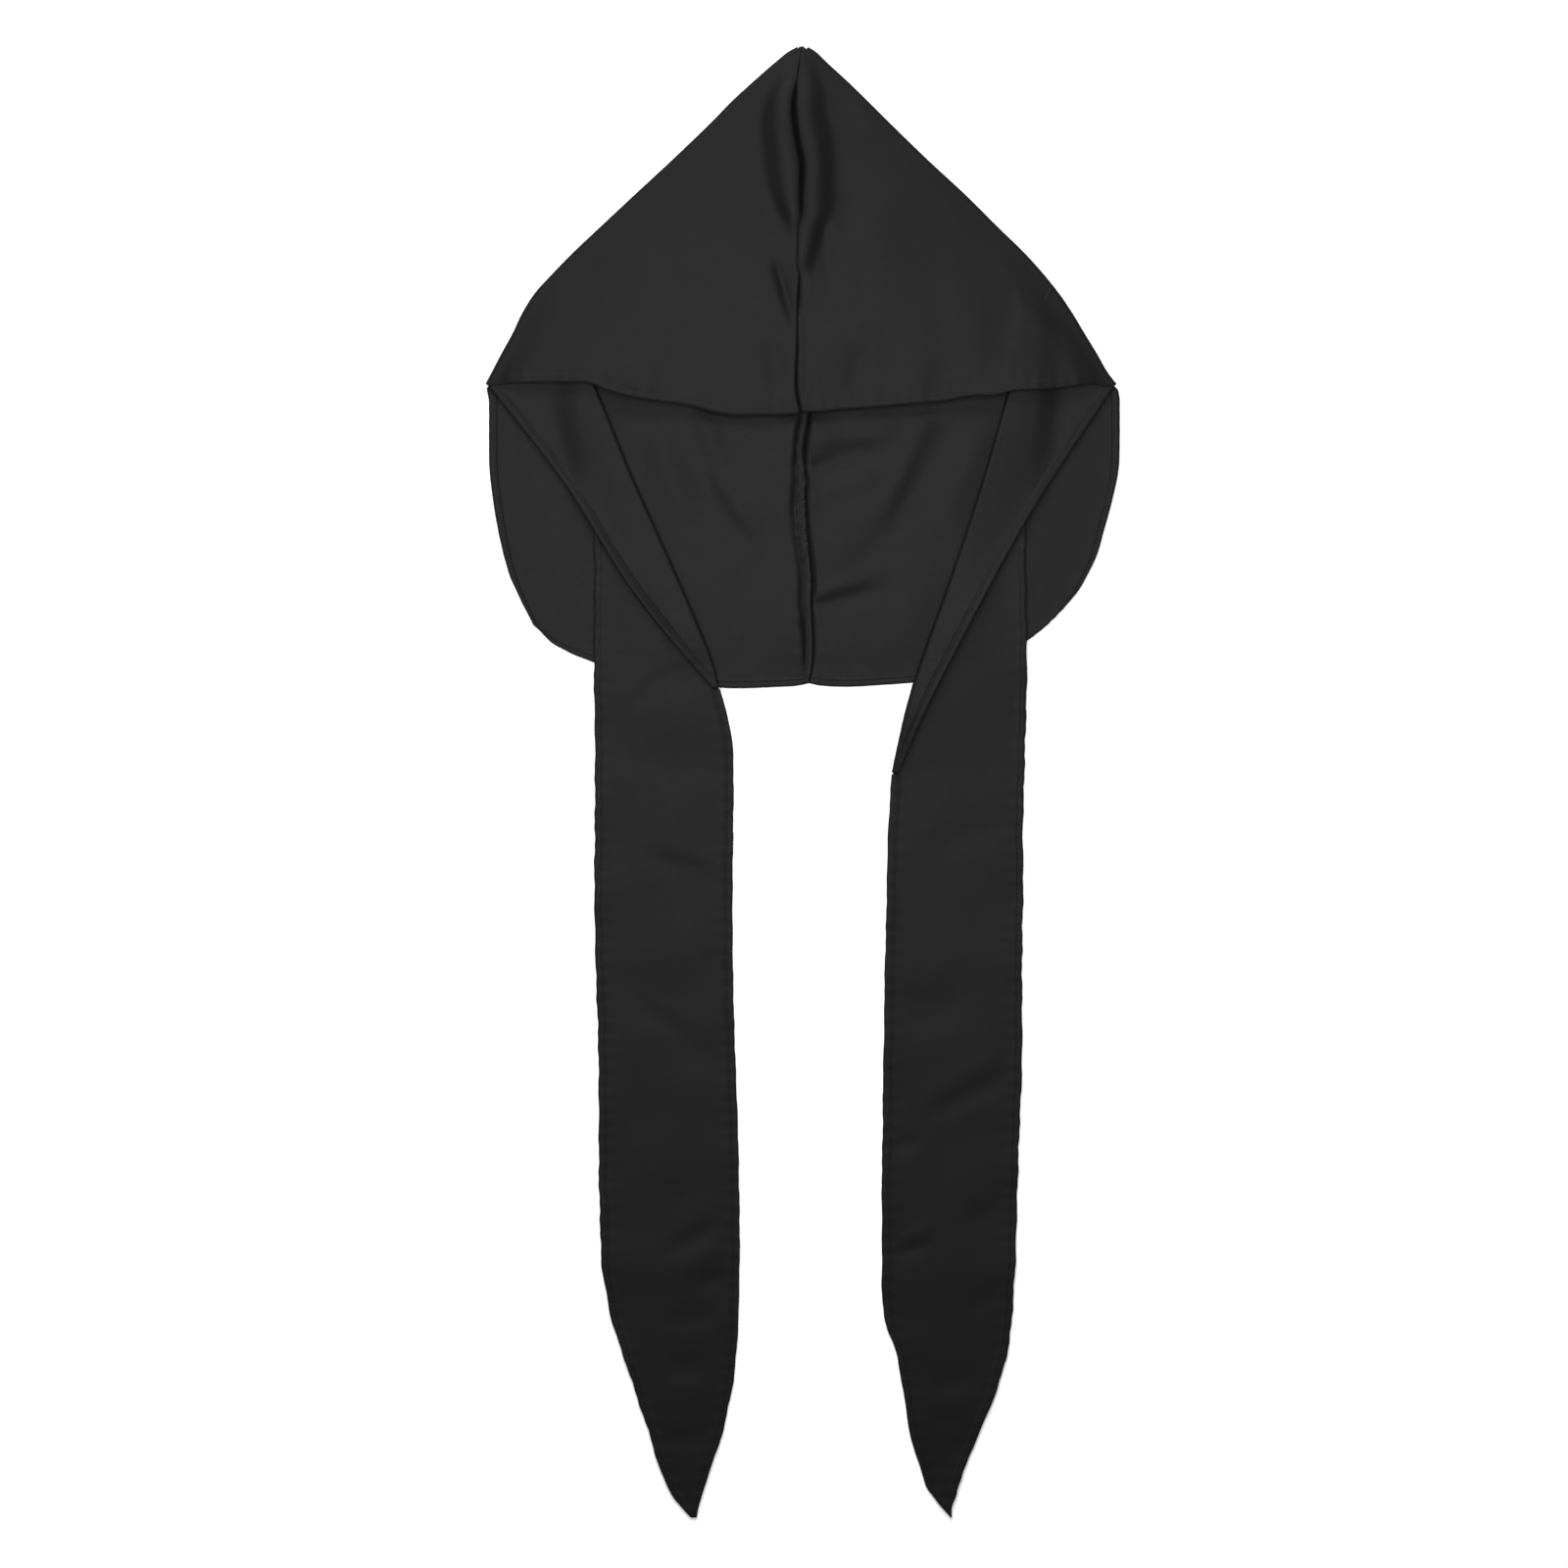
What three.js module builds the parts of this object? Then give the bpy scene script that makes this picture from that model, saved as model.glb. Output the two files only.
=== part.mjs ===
// Durag laid flat on its back, empty, with its two ties folded in and hanging down.
// Millimetres, +Z up, +Y towards the peak of the crown, +X to the right seen from above.
// The origin lies on the resting face, on the centre line, below the middle of the front hem.
// Each piece is a thin cloth: a middle surface worked out row by row, then given its thickness.

import * as THREE from 'three';

// Crown and cape
const crownHalfWidth = 161;
const crownHeight = 186;
const capeLength = 141;

// Cloth, hems and clearances
const cloth = 1.2;
const hemPly = 1;
const hemWidth = 4;
const hemRise = 0.5;
const seamPly = 1;
const seamAllowance = 6.5;
const clearance = 0.3;
const seamGap = 0.8;

// Pocket between the front and the back of the crown
const pocketLoft = 5;
const pocketReach = 45;
const peakStop = 16;
const ridgeEase = 1;

// Ties
const tieWidth = 70;
const tieHang = 565;
const tieTipLength = 130;
const creaseStart = 3;
const capeRamp = 14;
const edgeStep = 8;

// Colour and finish of the black cloth
const clothColour = 0x2c2c2d;
const hemColour = 0x262627;
const clothRoughness = 0.72;

// A layer lies this far above the layer that carries it, middle to middle
const layerStep = cloth + clearance;
const capeStep = layerStep + hemRise;
const foldRadius = (layerStep + capeStep) / 2;
const foldInset = foldRadius + cloth / 2;

// Side fold of the crown, from the peak down to the front corner.
// up is a share of the crown's height; left and right are shares of its half width.
const crownOutline = [
  { up: 0.997, left: 0.022, right: 0.012 },
  { up: 0.97, left: 0.07, right: 0.053 },
  { up: 0.8, left: 0.281, right: 0.256 },
  { up: 0.59, left: 0.536, right: 0.511 },
  { up: 0.43, left: 0.73, right: 0.699 },
  { up: 0.35, left: 0.817, right: 0.78 },
  { up: 0.27, left: 0.887, right: 0.847 },
  { up: 0.16, left: 0.954, right: 0.925 },
  { up: 0.065, left: 1.004, right: 0.998 },
];

// Side edge of the cape, from the front corner to its lower corner.
// down is a share of the cape's length, negative above the front hem's middle.
const capeOutline = [
  { down: -0.085, left: 1.004, right: 0.998 },
  { down: 0.0, left: 0.997, right: 1.0 },
  { down: 0.22, left: 0.994, right: 0.997 },
  { down: 0.38, left: 0.978, right: 0.966 },
  { down: 0.54, left: 0.947, right: 0.922 },
  { down: 0.65, left: 0.912, right: 0.873 },
  { down: 0.78, left: 0.854, right: 0.766 },
];

// Lower edge of the cape, from the centre seam to the lower corner.
// out is a share of the lower corner's distance from the centre; left and right are shares of the cape's length.
const capeHem = [
  { out: 0.0, left: 0.993, right: 0.993 },
  { out: 0.12, left: 1.004, right: 1.0 },
  { out: 0.32, left: 1.006, right: 0.993 },
  { out: 0.6, left: 0.962, right: 0.962 },
  { out: 0.78, left: 0.912, right: 0.895 },
  { out: 0.93, left: 0.837, right: 0.824 },
  { out: 1.0, left: 0.78, right: 0.78 },
];

// Front hem, from the centre seam to the corner.
// out is a share of the crown's half width; left and right are shares of its height.
const frontHem = [
  { out: 0.0, left: -0.011, right: -0.009 },
  { out: 0.12, left: -0.016, right: 0.001 },
  { out: 0.45, left: 0.019, right: 0.037 },
  { out: 0.62, left: 0.056, right: 0.043 },
  { out: 0.7, left: 0.072, right: 0.051 },
  { out: 0.9, left: 0.072, right: 0.064 },
  { out: 1.0, left: 0.072, right: 0.065 },
];

// Centre seam of the front, which wanders, and the puckered lips beside it.
// up is a share of the crown's height; side is a share of its half width; rise, leftLip and rightLip are in
// shares of the pocket's loft and of the allowance.
const frontSeam = [
  { up: -0.01, side: -0.009, rise: 0, leftLip: 0.8, rightLip: 0.8 },
  { up: 0.2, side: -0.019, rise: 0, leftLip: 0.8, rightLip: 0.8 },
  { up: 0.38, side: -0.01, rise: 0.12, leftLip: 0.8, rightLip: 0.8 },
  { up: 0.5, side: -0.012, rise: 0.4, leftLip: 0.7, rightLip: 0.9 },
  { up: 0.67, side: -0.004, rise: 0.62, leftLip: 1.3, rightLip: 0.7 },
  { up: 0.8, side: -0.027, rise: 0.55, leftLip: 0.7, rightLip: 0.9 },
  { up: 0.92, side: -0.02, rise: 0.2, leftLip: 0.6, rightLip: 0.6 },
  { up: 1.0, side: -0.006, rise: 0, leftLip: 0.5, rightLip: 0.5 },
];

// Centre seam of the back and the cape. down is a share of the cape's length, side of the half width.
const backSeam = [
  { down: -1.32, side: -0.006 },
  { down: -0.6, side: 0.012 },
  { down: 0.0, side: 0.016 },
  { down: 0.27, side: 0.003 },
  { down: 0.63, side: 0.021 },
  { down: 0.9, side: 0.03 },
  { down: 1.0, side: 0.016 },
];

// Low folds of the cape. fromSide and toSide are shares of the half width, fromDown and toDown of the cape's
// length, rise and spread of the hem's width.
const capeFolds = [
  { fromSide: 0.44, fromDown: 0.0, toSide: 0.27, toDown: 0.42, rise: 0.55, spread: 2 },
  { fromSide: 0.1, fromDown: 0.68, toSide: 0.27, toDown: 0.61, rise: 0.3, spread: 1.3 },
  { fromSide: 0.1, fromDown: 0.2, toSide: 0.27, toDown: 0.18, rise: 0.3, spread: 1.3 },
  { fromSide: -0.31, fromDown: 0.0, toSide: -0.2, toDown: 0.45, rise: 0.4, spread: 2 },
];

// Where each tie hangs, is creased and is rooted. centre is a share of the half width; foot and head are the ends
// of the crease, on the inner edge as a share of the cape's length and on the outer edge as a share of the
// crown's height; rootTop is the share of the side fold where the root starts; bow is the crease's bow in
// shares of the tie's width.
const tiePlaces = {
  left: { centre: 0.444, foot: 1.018, head: 0.1, rootTop: 0.8, bow: 0.04 },
  right: { centre: 0.475, foot: 1.32, head: 0.21, rootTop: 0.74, bow: 0 },
};

// Sideways drift of a tie's middle, outward, down its hang. All are shares: down of the hang, left and right
// of the tie's width.
const tieDrift = [
  { down: 0, left: 0, right: 0 },
  { down: 0.5, left: 0, right: 0 },
  { down: 0.78, left: -0.045, right: -0.03 },
  { down: 1, left: -0.045, right: -0.04 },
];

// Pointed end of a tie. along is a share of the point's length; the edges are shares of the tie's width,
// outward from its middle.
const tieTip = [
  { along: 0, leftOuter: 0.49, leftInner: -0.5, rightOuter: 0.485, rightInner: -0.49 },
  { along: 0.35, leftOuter: 0.336, leftInner: -0.471, rightOuter: 0.425, rightInner: -0.389 },
  { along: 0.58, leftOuter: 0.193, leftInner: -0.407, rightOuter: 0.289, rightInner: -0.31 },
  { along: 0.81, leftOuter: 0.057, leftInner: -0.279, rightOuter: 0.111, rightInner: -0.204 },
  { along: 0.93, leftOuter: -0.05, leftInner: -0.214, rightOuter: 0.04, rightInner: -0.09 },
  { along: 1, leftOuter: -0.165, leftInner: -0.19, rightOuter: 0.02, rightInner: -0.005 },
];

// Free edge of a tie's diagonal run: its bow towards the crease, in shares of the tie's width.
const diagonalBow = [
  { along: 0.35, left: 0.017, right: 0.08 },
  { along: 0.65, left: -0.043, right: 0.075 },
  { along: 0.85, left: -0.03, right: 0.05 },
];

// Radius of the crease's soft roll, from its foot to its head, in shares of the layer step.
const creaseRoll = [
  { along: 0, radius: 0.75 },
  { along: 0.35, radius: 0.85 },
  { along: 0.7, radius: 1.7 },
  { along: 0.85, radius: 2 },
  { along: 1, radius: 0.9 },
];

// Grid stations, as shares of a row or column; the front hem's turned cloth starts on a row of its own.
const hemStart = 1 - hemWidth / crownHeight;
const seamToEdge = [0, 0.03, 0.07, 0.12, 0.19, 0.28, 0.39, 0.5, 0.58, 0.64, 0.7, 0.78, 0.88, 0.965, 0.975, 1];
const peakToHem = [0.012, 0.05, 0.1, 0.16, 0.23, 0.3, 0.37, 0.44, 0.51, 0.58, 0.65, 0.72, 0.79, 0.86, 0.93, hemStart, 1];
const hemToCape = [0.03, 0.12, 0.22, 0.32, 0.42, 0.52, 0.62, 0.72, 0.82, 0.91, 0.965, 0.975, 1];
const foldSteps = 4;
const creaseSteps = 4;
const tieColumns = 5;
const diagonalColumns = 6;
const hangRows = 12;
const tipRows = 8;
const creaseRows = 20;

const clamp = (value) => Math.min(1, Math.max(0, value));
const smooth = (value) => clamp(value) ** 2 * (3 - 2 * clamp(value));
const mix = (from, to, share) => from + (to - from) * share;
const softMax = (a, b) => (a + b + Math.hypot(a - b, clearance)) / 2;
const sideName = (side) => (side < 0 ? 'left' : 'right');

// Reads a column of a table at any place, along a smooth curve through its rows.
function readTable(rows, key, column, at) {
  const last = rows.length - 1;
  const rising = rows[last][key] > rows[0][key];
  let index = 0;
  while (index < last - 1 && (rising ? rows[index + 1][key] < at : rows[index + 1][key] > at)) index += 1;
  const slope = (i) => {
    const before = rows[Math.max(0, i - 1)];
    const after = rows[Math.min(last, i + 1)];
    return (after[column] - before[column]) / (after[key] - before[key]);
  };
  const span = rows[index + 1][key] - rows[index][key];
  const u = clamp((at - rows[index][key]) / span);
  const start = rows[index][column];
  const end = rows[index + 1][column];
  return start * (1 + 2 * u) * (1 - u) ** 2 + end * u * u * (3 - 2 * u)
    + span * u * (1 - u) * ((1 - u) * slope(index) - u * slope(index + 1));
}

const point = (x, y) => new THREE.Vector2(x, y);
const between = (from, to, share) => from.clone().lerp(to, share);

// Curve of a crown's side fold, seen from above
const sideFolds = Object.fromEntries([-1, 1].map((side) => [side, new THREE.SplineCurve(
  crownOutline.map((row) => point(side * row[sideName(side)] * crownHalfWidth, row.up * crownHeight)),
)]));

function outward(side, along) {
  const direction = sideFolds[side].getTangentAt(along);
  return point(-direction.y, direction.x).multiplyScalar(side);
}

// Where the front and back layers turn into the side fold
function foldStart(side, along) {
  return sideFolds[side].getPointAt(along).addScaledVector(outward(side, along), -foldInset);
}

function frontSeamAt(y) {
  return readTable(frontSeam, 'up', 'side', y / crownHeight) * crownHalfWidth;
}

function backSeamAt(y) {
  return readTable(backSeam, 'down', 'side', -y / capeLength) * crownHalfWidth;
}

const hemMiddle = frontHem[0].left * crownHeight;
const rowHeight = (along) => mix(crownHeight - foldInset, hemMiddle, along);

// Point of a crown row, from the centre seam to the side fold; the last row is the front hem.
function crownPoint(side, along, across, seamAt) {
  const name = sideName(side);
  const y = rowHeight(along);
  const start = point(seamAt(y) + side * seamGap / 2, y);
  const end = foldStart(side, along);
  const spot = between(start, end, across);
  const straight = mix(rowHeight(1), foldStart(side, 1).y, across);
  const hem = readTable(frontHem, 'out', name, across) * crownHeight;
  spot.y += (hem - straight) * along ** 4 * smooth((1 - across) * 8);
  return spot;
}

function capeEdge(side, down) {
  const name = sideName(side);
  const last = capeOutline[capeOutline.length - 1].down;
  const share = mix(capeOutline[0].down, last, down);
  const width = readTable(capeOutline, 'down', name, share) * crownHalfWidth;
  const corner = foldStart(side, 1);
  const edge = point(side * width, mix(corner.y, -last * capeLength, down));
  return between(corner, edge, smooth(down / hemToCape[0]));
}

function capeHemPoint(side, across) {
  const corner = capeEdge(side, 1);
  const start = backSeamAt(-capeLength) + side * seamGap / 2;
  const y = -readTable(capeHem, 'out', sideName(side), across) * capeLength;
  return point(mix(start, corner.x, across), y);
}

function capeSeamPoint(side, down) {
  const y = mix(rowHeight(1), capeHemPoint(side, 0).y, down);
  return point(backSeamAt(y) + side * seamGap / 2, y);
}

// Point of a cape row, blended between its four edges: hem row of the crown, lower hem, seam and side edge.
function capePoint(side, down, across) {
  const top = crownPoint(side, 1, across, backSeamAt);
  const bottom = capeHemPoint(side, across);
  const rows = between(top, bottom, down);
  const columns = between(capeSeamPoint(side, down), capeEdge(side, down), across);
  const corners = between(
    between(crownPoint(side, 1, 0, backSeamAt), foldStart(side, 1), across),
    between(capeHemPoint(side, 0), capeEdge(side, 1), across),
    down,
  );
  return rows.add(columns).sub(corners);
}

// Height of the lower cloth's middle: flat on the ground with the cape's low folds
function backHeight(spot) {
  let height = cloth / 2;
  for (const fold of capeFolds) {
    const from = point(fold.fromSide * crownHalfWidth, -fold.fromDown * capeLength);
    const to = point(fold.toSide * crownHalfWidth, -fold.toDown * capeLength);
    const run = to.clone().sub(from);
    const share = clamp(spot.clone().sub(from).dot(run) / run.lengthSq());
    const distance = spot.distanceTo(between(from, to, share)) / (fold.spread * hemWidth);
    height += fold.rise * hemWidth * Math.exp(-(distance ** 2)) * Math.sin(Math.PI * mix(0.15, 0.85, share));
  }
  const fromSeam = Math.abs(spot.x - backSeamAt(spot.y)) - 2 * seamAllowance;
  const belowFront = smooth((hemMiddle - hemWidth - spot.y) / (2 * hemWidth));
  return mix(cloth / 2, height, smooth(fromSeam / seamAllowance) * belowFront);
}

function capeEdgeHeight(side, x) {
  const corner = Math.abs(capeEdge(side, 1).x);
  return -readTable(capeHem, 'out', sideName(side), clamp(Math.abs(x) / corner)) * capeLength;
}

// Straight lower run of a tie: on the ground, and up over the cape's hem
function tieHeight(side, spot) {
  const overCape = smooth(1 + (spot.y - capeEdgeHeight(side, spot.x) + 2 * hemWidth) / capeRamp);
  return mix(cloth / 2, backHeight(spot) + capeStep, overCape);
}

function tieMiddle(side, y) {
  const place = tiePlaces[sideName(side)];
  const drift = readTable(tieDrift, 'down', sideName(side), clamp(-y / tieHang)) * tieWidth;
  return side * (place.centre * crownHalfWidth + drift);
}

const tieOuter = (side, y) => tieMiddle(side, y) + side * tieWidth / 2;
const tieInner = (side, y) => tieMiddle(side, y) - side * tieWidth / 2;

// The crease of a tie, from its foot on the inner edge to its head just short of the outer edge
const creases = Object.fromEntries([-1, 1].map((side) => {
  const place = tiePlaces[sideName(side)];
  const footY = -place.foot * capeLength;
  const headY = place.head * crownHeight;
  const headX = tieOuter(side, headY) - side * 2 * foldInset;
  const foot = point(tieInner(side, footY), footY);
  const head = point(headX, headY);
  const run = head.clone().sub(foot);
  const inward = point(-run.y, run.x).normalize().multiplyScalar(side);
  return [side, { foot, head, run, inward, bow: place.bow * tieWidth }];
}));

const rollRadius = (along) => readTable(creaseRoll, 'along', 'radius', along) * layerStep;

function creasePoint(side, along) {
  const crease = creases[side];
  const bowed = crease.bow * Math.sin(Math.PI * along);
  return between(crease.foot, crease.head, along).addScaledVector(crease.inward, bowed);
}

// Where a tie's layers turn into the roll of its crease
function rollStart(side, along) {
  return creasePoint(side, along).addScaledVector(creases[side].inward, -rollRadius(along) - cloth / 2);
}

// Share along the crease and distance outward from the roll's start, for any point of the ground
function fromCrease(side, spot) {
  const crease = creases[side];
  const along = spot.clone().sub(crease.foot).dot(crease.run) / crease.run.lengthSq();
  const start = rollStart(side, clamp(along));
  return { along, out: -spot.clone().sub(start).dot(crease.inward) };
}

// Diagonal upper run of a tie: over its own lower run, then down onto the cape beyond the outer edge
function diagonalHeight(side, spot) {
  const { along, out } = fromCrease(side, spot);
  const beyond = side * (spot.x - tieOuter(side, spot.y)) - cloth;
  const carried = mix(tieHeight(side, spot) + layerStep, backHeight(spot) + capeStep, smooth(beyond / edgeStep));
  const radius = rollRadius(clamp(along));
  const extra = 2 * radius - layerStep;
  const reach = edgeStep + 3 * radius;
  return carried + extra * (1 - smooth(out / reach));
}

// Height that the front layer keeps above a tie: over its roll, fading inward and past its head
function aboveTie(side, spot) {
  const { along, out } = fromCrease(side, spot);
  const radius = rollRadius(clamp(along));
  const inside = smooth((-out - radius - hemWidth) / (2 * edgeStep));
  const past = smooth(((along - 1) * creases[side].run.length()) / (2 * edgeStep) - 0.2);
  const top = diagonalHeight(side, spot) + layerStep + hemPly + clearance + ridgeEase;
  return mix(top, backHeight(spot) + 2 * foldRadius, Math.max(inside, past));
}

// Lips that the centre seam puckers up beside itself, with a soft valley beyond each
function pucker(side, spot) {
  const up = spot.y / crownHeight;
  const rise = readTable(frontSeam, 'up', 'rise', up) * pocketLoft;
  const lip = readTable(frontSeam, 'up', `${sideName(side)}Lip`, up) * seamAllowance;
  const out = Math.abs(spot.x - frontSeamAt(spot.y));
  const crest = Math.exp(-(((out - lip) / (0.7 * lip)) ** 2));
  const valley = Math.exp(-(((out - 3.2 * lip) / (1.5 * lip)) ** 2));
  return rise * (crest - 0.45 * valley);
}

// Front layer: lofted over the pocket, resting on the ties near its corners
function frontHeight(side, spot, fromFold) {
  const loft = pocketLoft * Math.sin((Math.PI / 2) * clamp(fromFold / pocketReach));
  const pocket = cloth / 2 + 2 * foldRadius + loft + pucker(side, spot);
  const overTie = aboveTie(side, spot) - (hemPly + clearance + ridgeEase) * (1 - smooth(fromFold / edgeStep));
  const highest = fromFold > clearance ? softMax(pocket, overTie) : pocket;
  return mix(pocket, highest, smooth(fromFold / edgeStep));
}

// Distance of a crown point from the side fold, across the fold
function foldDistance(side, along, spot) {
  return Math.abs(foldStart(side, along).sub(spot).dot(outward(side, along)));
}

const raised = (spot, z) => new THREE.Vector3(spot.x, spot.y, z);

// Half turn from a lower to an upper layer. start is where both begin to turn, direction points out of the roll.
function halfTurn(start, direction, lower, upper, steps) {
  const radius = (upper - lower) / 2;
  return Array.from({ length: steps - 1 }, (_, i) => {
    const angle = Math.PI * (0.5 - (i + 1) / steps);
    const reach = direction.clone().multiplyScalar(radius * Math.cos(angle));
    return raised(start.clone().add(reach), lower + radius + radius * Math.sin(angle));
  });
}

// A cloth's middle surface: rows of points, joined cell by cell, with an optional extra on its inner face
class Cloth {
  constructor() {
    this.points = [];
    this.extra = [];
    this.triangles = [];
  }

  addRow(points, extra = () => 0) {
    const first = this.points.length;
    points.forEach((spot, i) => {
      this.points.push(spot);
      this.extra.push(extra(i));
    });
    return points.map((_, i) => first + i);
  }

  join(lower, upper) {
    const cells = Math.min(lower.length, upper.length) - 1;
    for (let i = 0; i < cells; i += 1) {
      this.triangles.push([lower[i], lower[i + 1], upper[i + 1]], [lower[i], upper[i + 1], upper[i]]);
    }
  }

  normals() {
    const sums = this.points.map(() => new THREE.Vector3());
    for (const [a, b, c] of this.triangles) {
      const side = this.points[b].clone().sub(this.points[a]);
      const normal = side.cross(this.points[c].clone().sub(this.points[a]));
      for (const corner of [a, b, c]) sums[corner].add(normal);
    }
    return sums.map((sum) => sum.normalize());
  }

  // Edges that only one triangle has, in the direction of that triangle
  rim() {
    const edges = new Map();
    for (const triangle of this.triangles) {
      triangle.forEach((from, i) => {
        const to = triangle[(i + 1) % 3];
        if (!edges.delete(`${to} ${from}`)) edges.set(`${from} ${to}`, [from, to]);
      });
    }
    return [...edges.values()];
  }

  // Closed solid: the middle surface moved half a thickness to both sides, with walls along its rim
  geometry(thickness) {
    const count = this.points.length;
    const normals = this.normals();
    const positions = [];
    const place = (distance) => this.points.forEach((spot, i) => {
      const reach = distance < 0 ? distance - this.extra[i] : distance;
      positions.push(...spot.clone().addScaledVector(normals[i], reach).toArray());
    });
    place(thickness / 2);
    place(-thickness / 2);
    const index = [];
    for (const [a, b, c] of this.triangles) index.push(a, b, c, c + count, b + count, a + count);
    for (const [a, b] of this.rim()) index.push(b, a, a + count, b, a + count, b + count);
    const geometry = new THREE.BufferGeometry();
    geometry.setAttribute('position', new THREE.Float32BufferAttribute(positions, 3));
    geometry.setIndex(index);
    geometry.computeVertexNormals();
    return geometry;
  }
}

// A right panel runs its rows the other way, so that its outer face still points out.
const inOrder = (side, row) => (side > 0 ? row.reverse() : row);

function panel(side) {
  const sheet = new Cloth();
  const columns = seamToEdge;
  const onRim = (down) => (i) => {
    const across = columns[side < 0 ? columns.length - 1 - i : i];
    const inHem = across > 1 - 1.2 * hemWidth / crownHalfWidth || down > 1 - 1.2 * hemWidth / capeLength;
    return inHem && down > 0 ? hemRise : 0;
  };
  // A crown row runs from the front's seam over the side fold to the back's seam.
  const crownRow = (along) => {
    const front = columns.map((across) => {
      const spot = crownPoint(side, along, across, frontSeamAt);
      return raised(spot, frontHeight(side, spot, foldDistance(side, along, spot)));
    });
    const back = columns.map((across) => {
      const spot = crownPoint(side, along, across, backSeamAt);
      return raised(spot, backHeight(spot));
    });
    const top = front[front.length - 1].z;
    const turn = halfTurn(foldStart(side, along), outward(side, along), cloth / 2, top, foldSteps);
    return [...front, ...turn, ...back.reverse()];
  };
  const rows = peakToHem.map((along) => sheet.addRow(inOrder(side, crownRow(along))));
  for (let i = 1; i < rows.length; i += 1) sheet.join(rows[i - 1], rows[i]);
  // Below the front hem only the back goes on, as the cape.
  const lastCrown = rows[rows.length - 1];
  const backOfCrown = side < 0 ? lastCrown.slice(-columns.length) : lastCrown.slice(0, columns.length);
  let above = backOfCrown;
  for (const down of hemToCape) {
    const spots = columns.map((across) => capePoint(side, down, across)).reverse();
    const row = sheet.addRow(inOrder(side, spots.map((spot) => raised(spot, backHeight(spot)))), onRim(down));
    sheet.join(above, row);
    above = row;
  }
  return sheet.geometry(cloth);
}

// One tie: full-width rows from its point up to the crease, then rows that pass over the crease's roll
// and out along the diagonal run to its free edge and its root in the side fold.
function tie(side) {
  const sheet = new Cloth();
  const name = sideName(side);
  const footY = creases[side].foot.y;
  const tipStart = -tieHang + tieTipLength;
  const lowerRow = (outer, inner) => Array.from({ length: tieColumns + 1 }, (_, i) => {
    const spot = between(outer, inner, i / tieColumns);
    return raised(spot, tieHeight(side, spot));
  });
  const rows = [];
  for (let i = tipRows; i > 0; i -= 1) {
    const along = (i / tipRows) ** 0.8;
    const y = mix(tipStart, -tieHang, along);
    const middle = tieMiddle(side, y);
    const reach = (edge) => side * readTable(tieTip, 'along', `${name}${edge}`, along) * tieWidth;
    rows.push(sheet.addRow(lowerRow(point(middle + reach('Outer'), y), point(middle + reach('Inner'), y))));
  }
  for (let i = 0; i < hangRows; i += 1) {
    const y = mix(tipStart, footY, 1 - (1 - i / hangRows) ** 1.3);
    rows.push(sheet.addRow(lowerRow(point(tieOuter(side, y), y), point(tieInner(side, y), y))));
  }
  const freeEdge = diagonalEdge(side);
  const rootShare = sideRoot(side) / (sideRoot(side) + freeEdge.getLength());
  for (let i = 0; i <= creaseRows; i += 1) {
    const along = i / creaseRows;
    const start = rollStart(side, along);
    const lower = lowerRow(point(tieOuter(side, start.y), start.y), start);
    const end = along < 1 - rootShare
      ? freeEdge.getPointAt(along / (1 - rootShare))
      : foldStart(side, mix(1, tiePlaces[name].rootTop, (along - 1 + rootShare) / rootShare));
    const upper = Array.from({ length: diagonalColumns + 1 }, (_, k) => {
      const spot = between(start, end, (k / diagonalColumns) ** 1.3);
      return raised(spot, diagonalHeight(side, spot));
    });
    const from = lower[lower.length - 1].z;
    const turn = halfTurn(start, creases[side].inward, from, upper[0].z, creaseSteps).reverse();
    rows.push(sheet.addRow([...lower, ...turn, ...upper]));
  }
  for (let i = 1; i < rows.length; i += 1) sheet.join(rows[i - 1], rows[i]);
  return sheet.geometry(cloth);
}

// Free edge of the diagonal run, from just beyond the crease's foot to the front corner
function diagonalEdge(side) {
  const foot = rollStart(side, 0).addScaledVector(creases[side].inward, -creaseStart);
  const corner = foldStart(side, 1);
  const across = corner.clone().sub(foot).normalize();
  const towardsCrease = point(-across.y, across.x).multiplyScalar(side * tieWidth);
  const bowed = diagonalBow.map((row) => between(corner, foot, row.along)
    .addScaledVector(towardsCrease, row[sideName(side)])).reverse();
  return new THREE.SplineCurve([foot, ...bowed, corner]);
}

// Length of side fold that a tie's root takes up
function sideRoot(side) {
  return (1 - tiePlaces[sideName(side)].rootTop) * sideFolds[side].getLength();
}

// Allowance of the centre seam on the inside of the back and the cape
function backAllowance() {
  const sheet = new Cloth();
  const top = crownHeight - peakStop;
  const bottom = -capeLength + 2 * hemWidth;
  const steps = 24;
  const rows = Array.from({ length: steps + 1 }, (_, i) => {
    const y = mix(top, bottom, i / steps);
    const middle = backSeamAt(y);
    const z = cloth / 2 + (cloth + seamPly) / 2 + clearance;
    const spread = seamAllowance * mix(1, 0.7, i / steps);
    return sheet.addRow([-spread, -spread / 2, hemRise].map((x) => new THREE.Vector3(middle + x, y, z)));
  });
  for (let i = 1; i < rows.length; i += 1) sheet.join(rows[i], rows[i - 1]);
  return sheet.geometry(seamPly);
}

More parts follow.
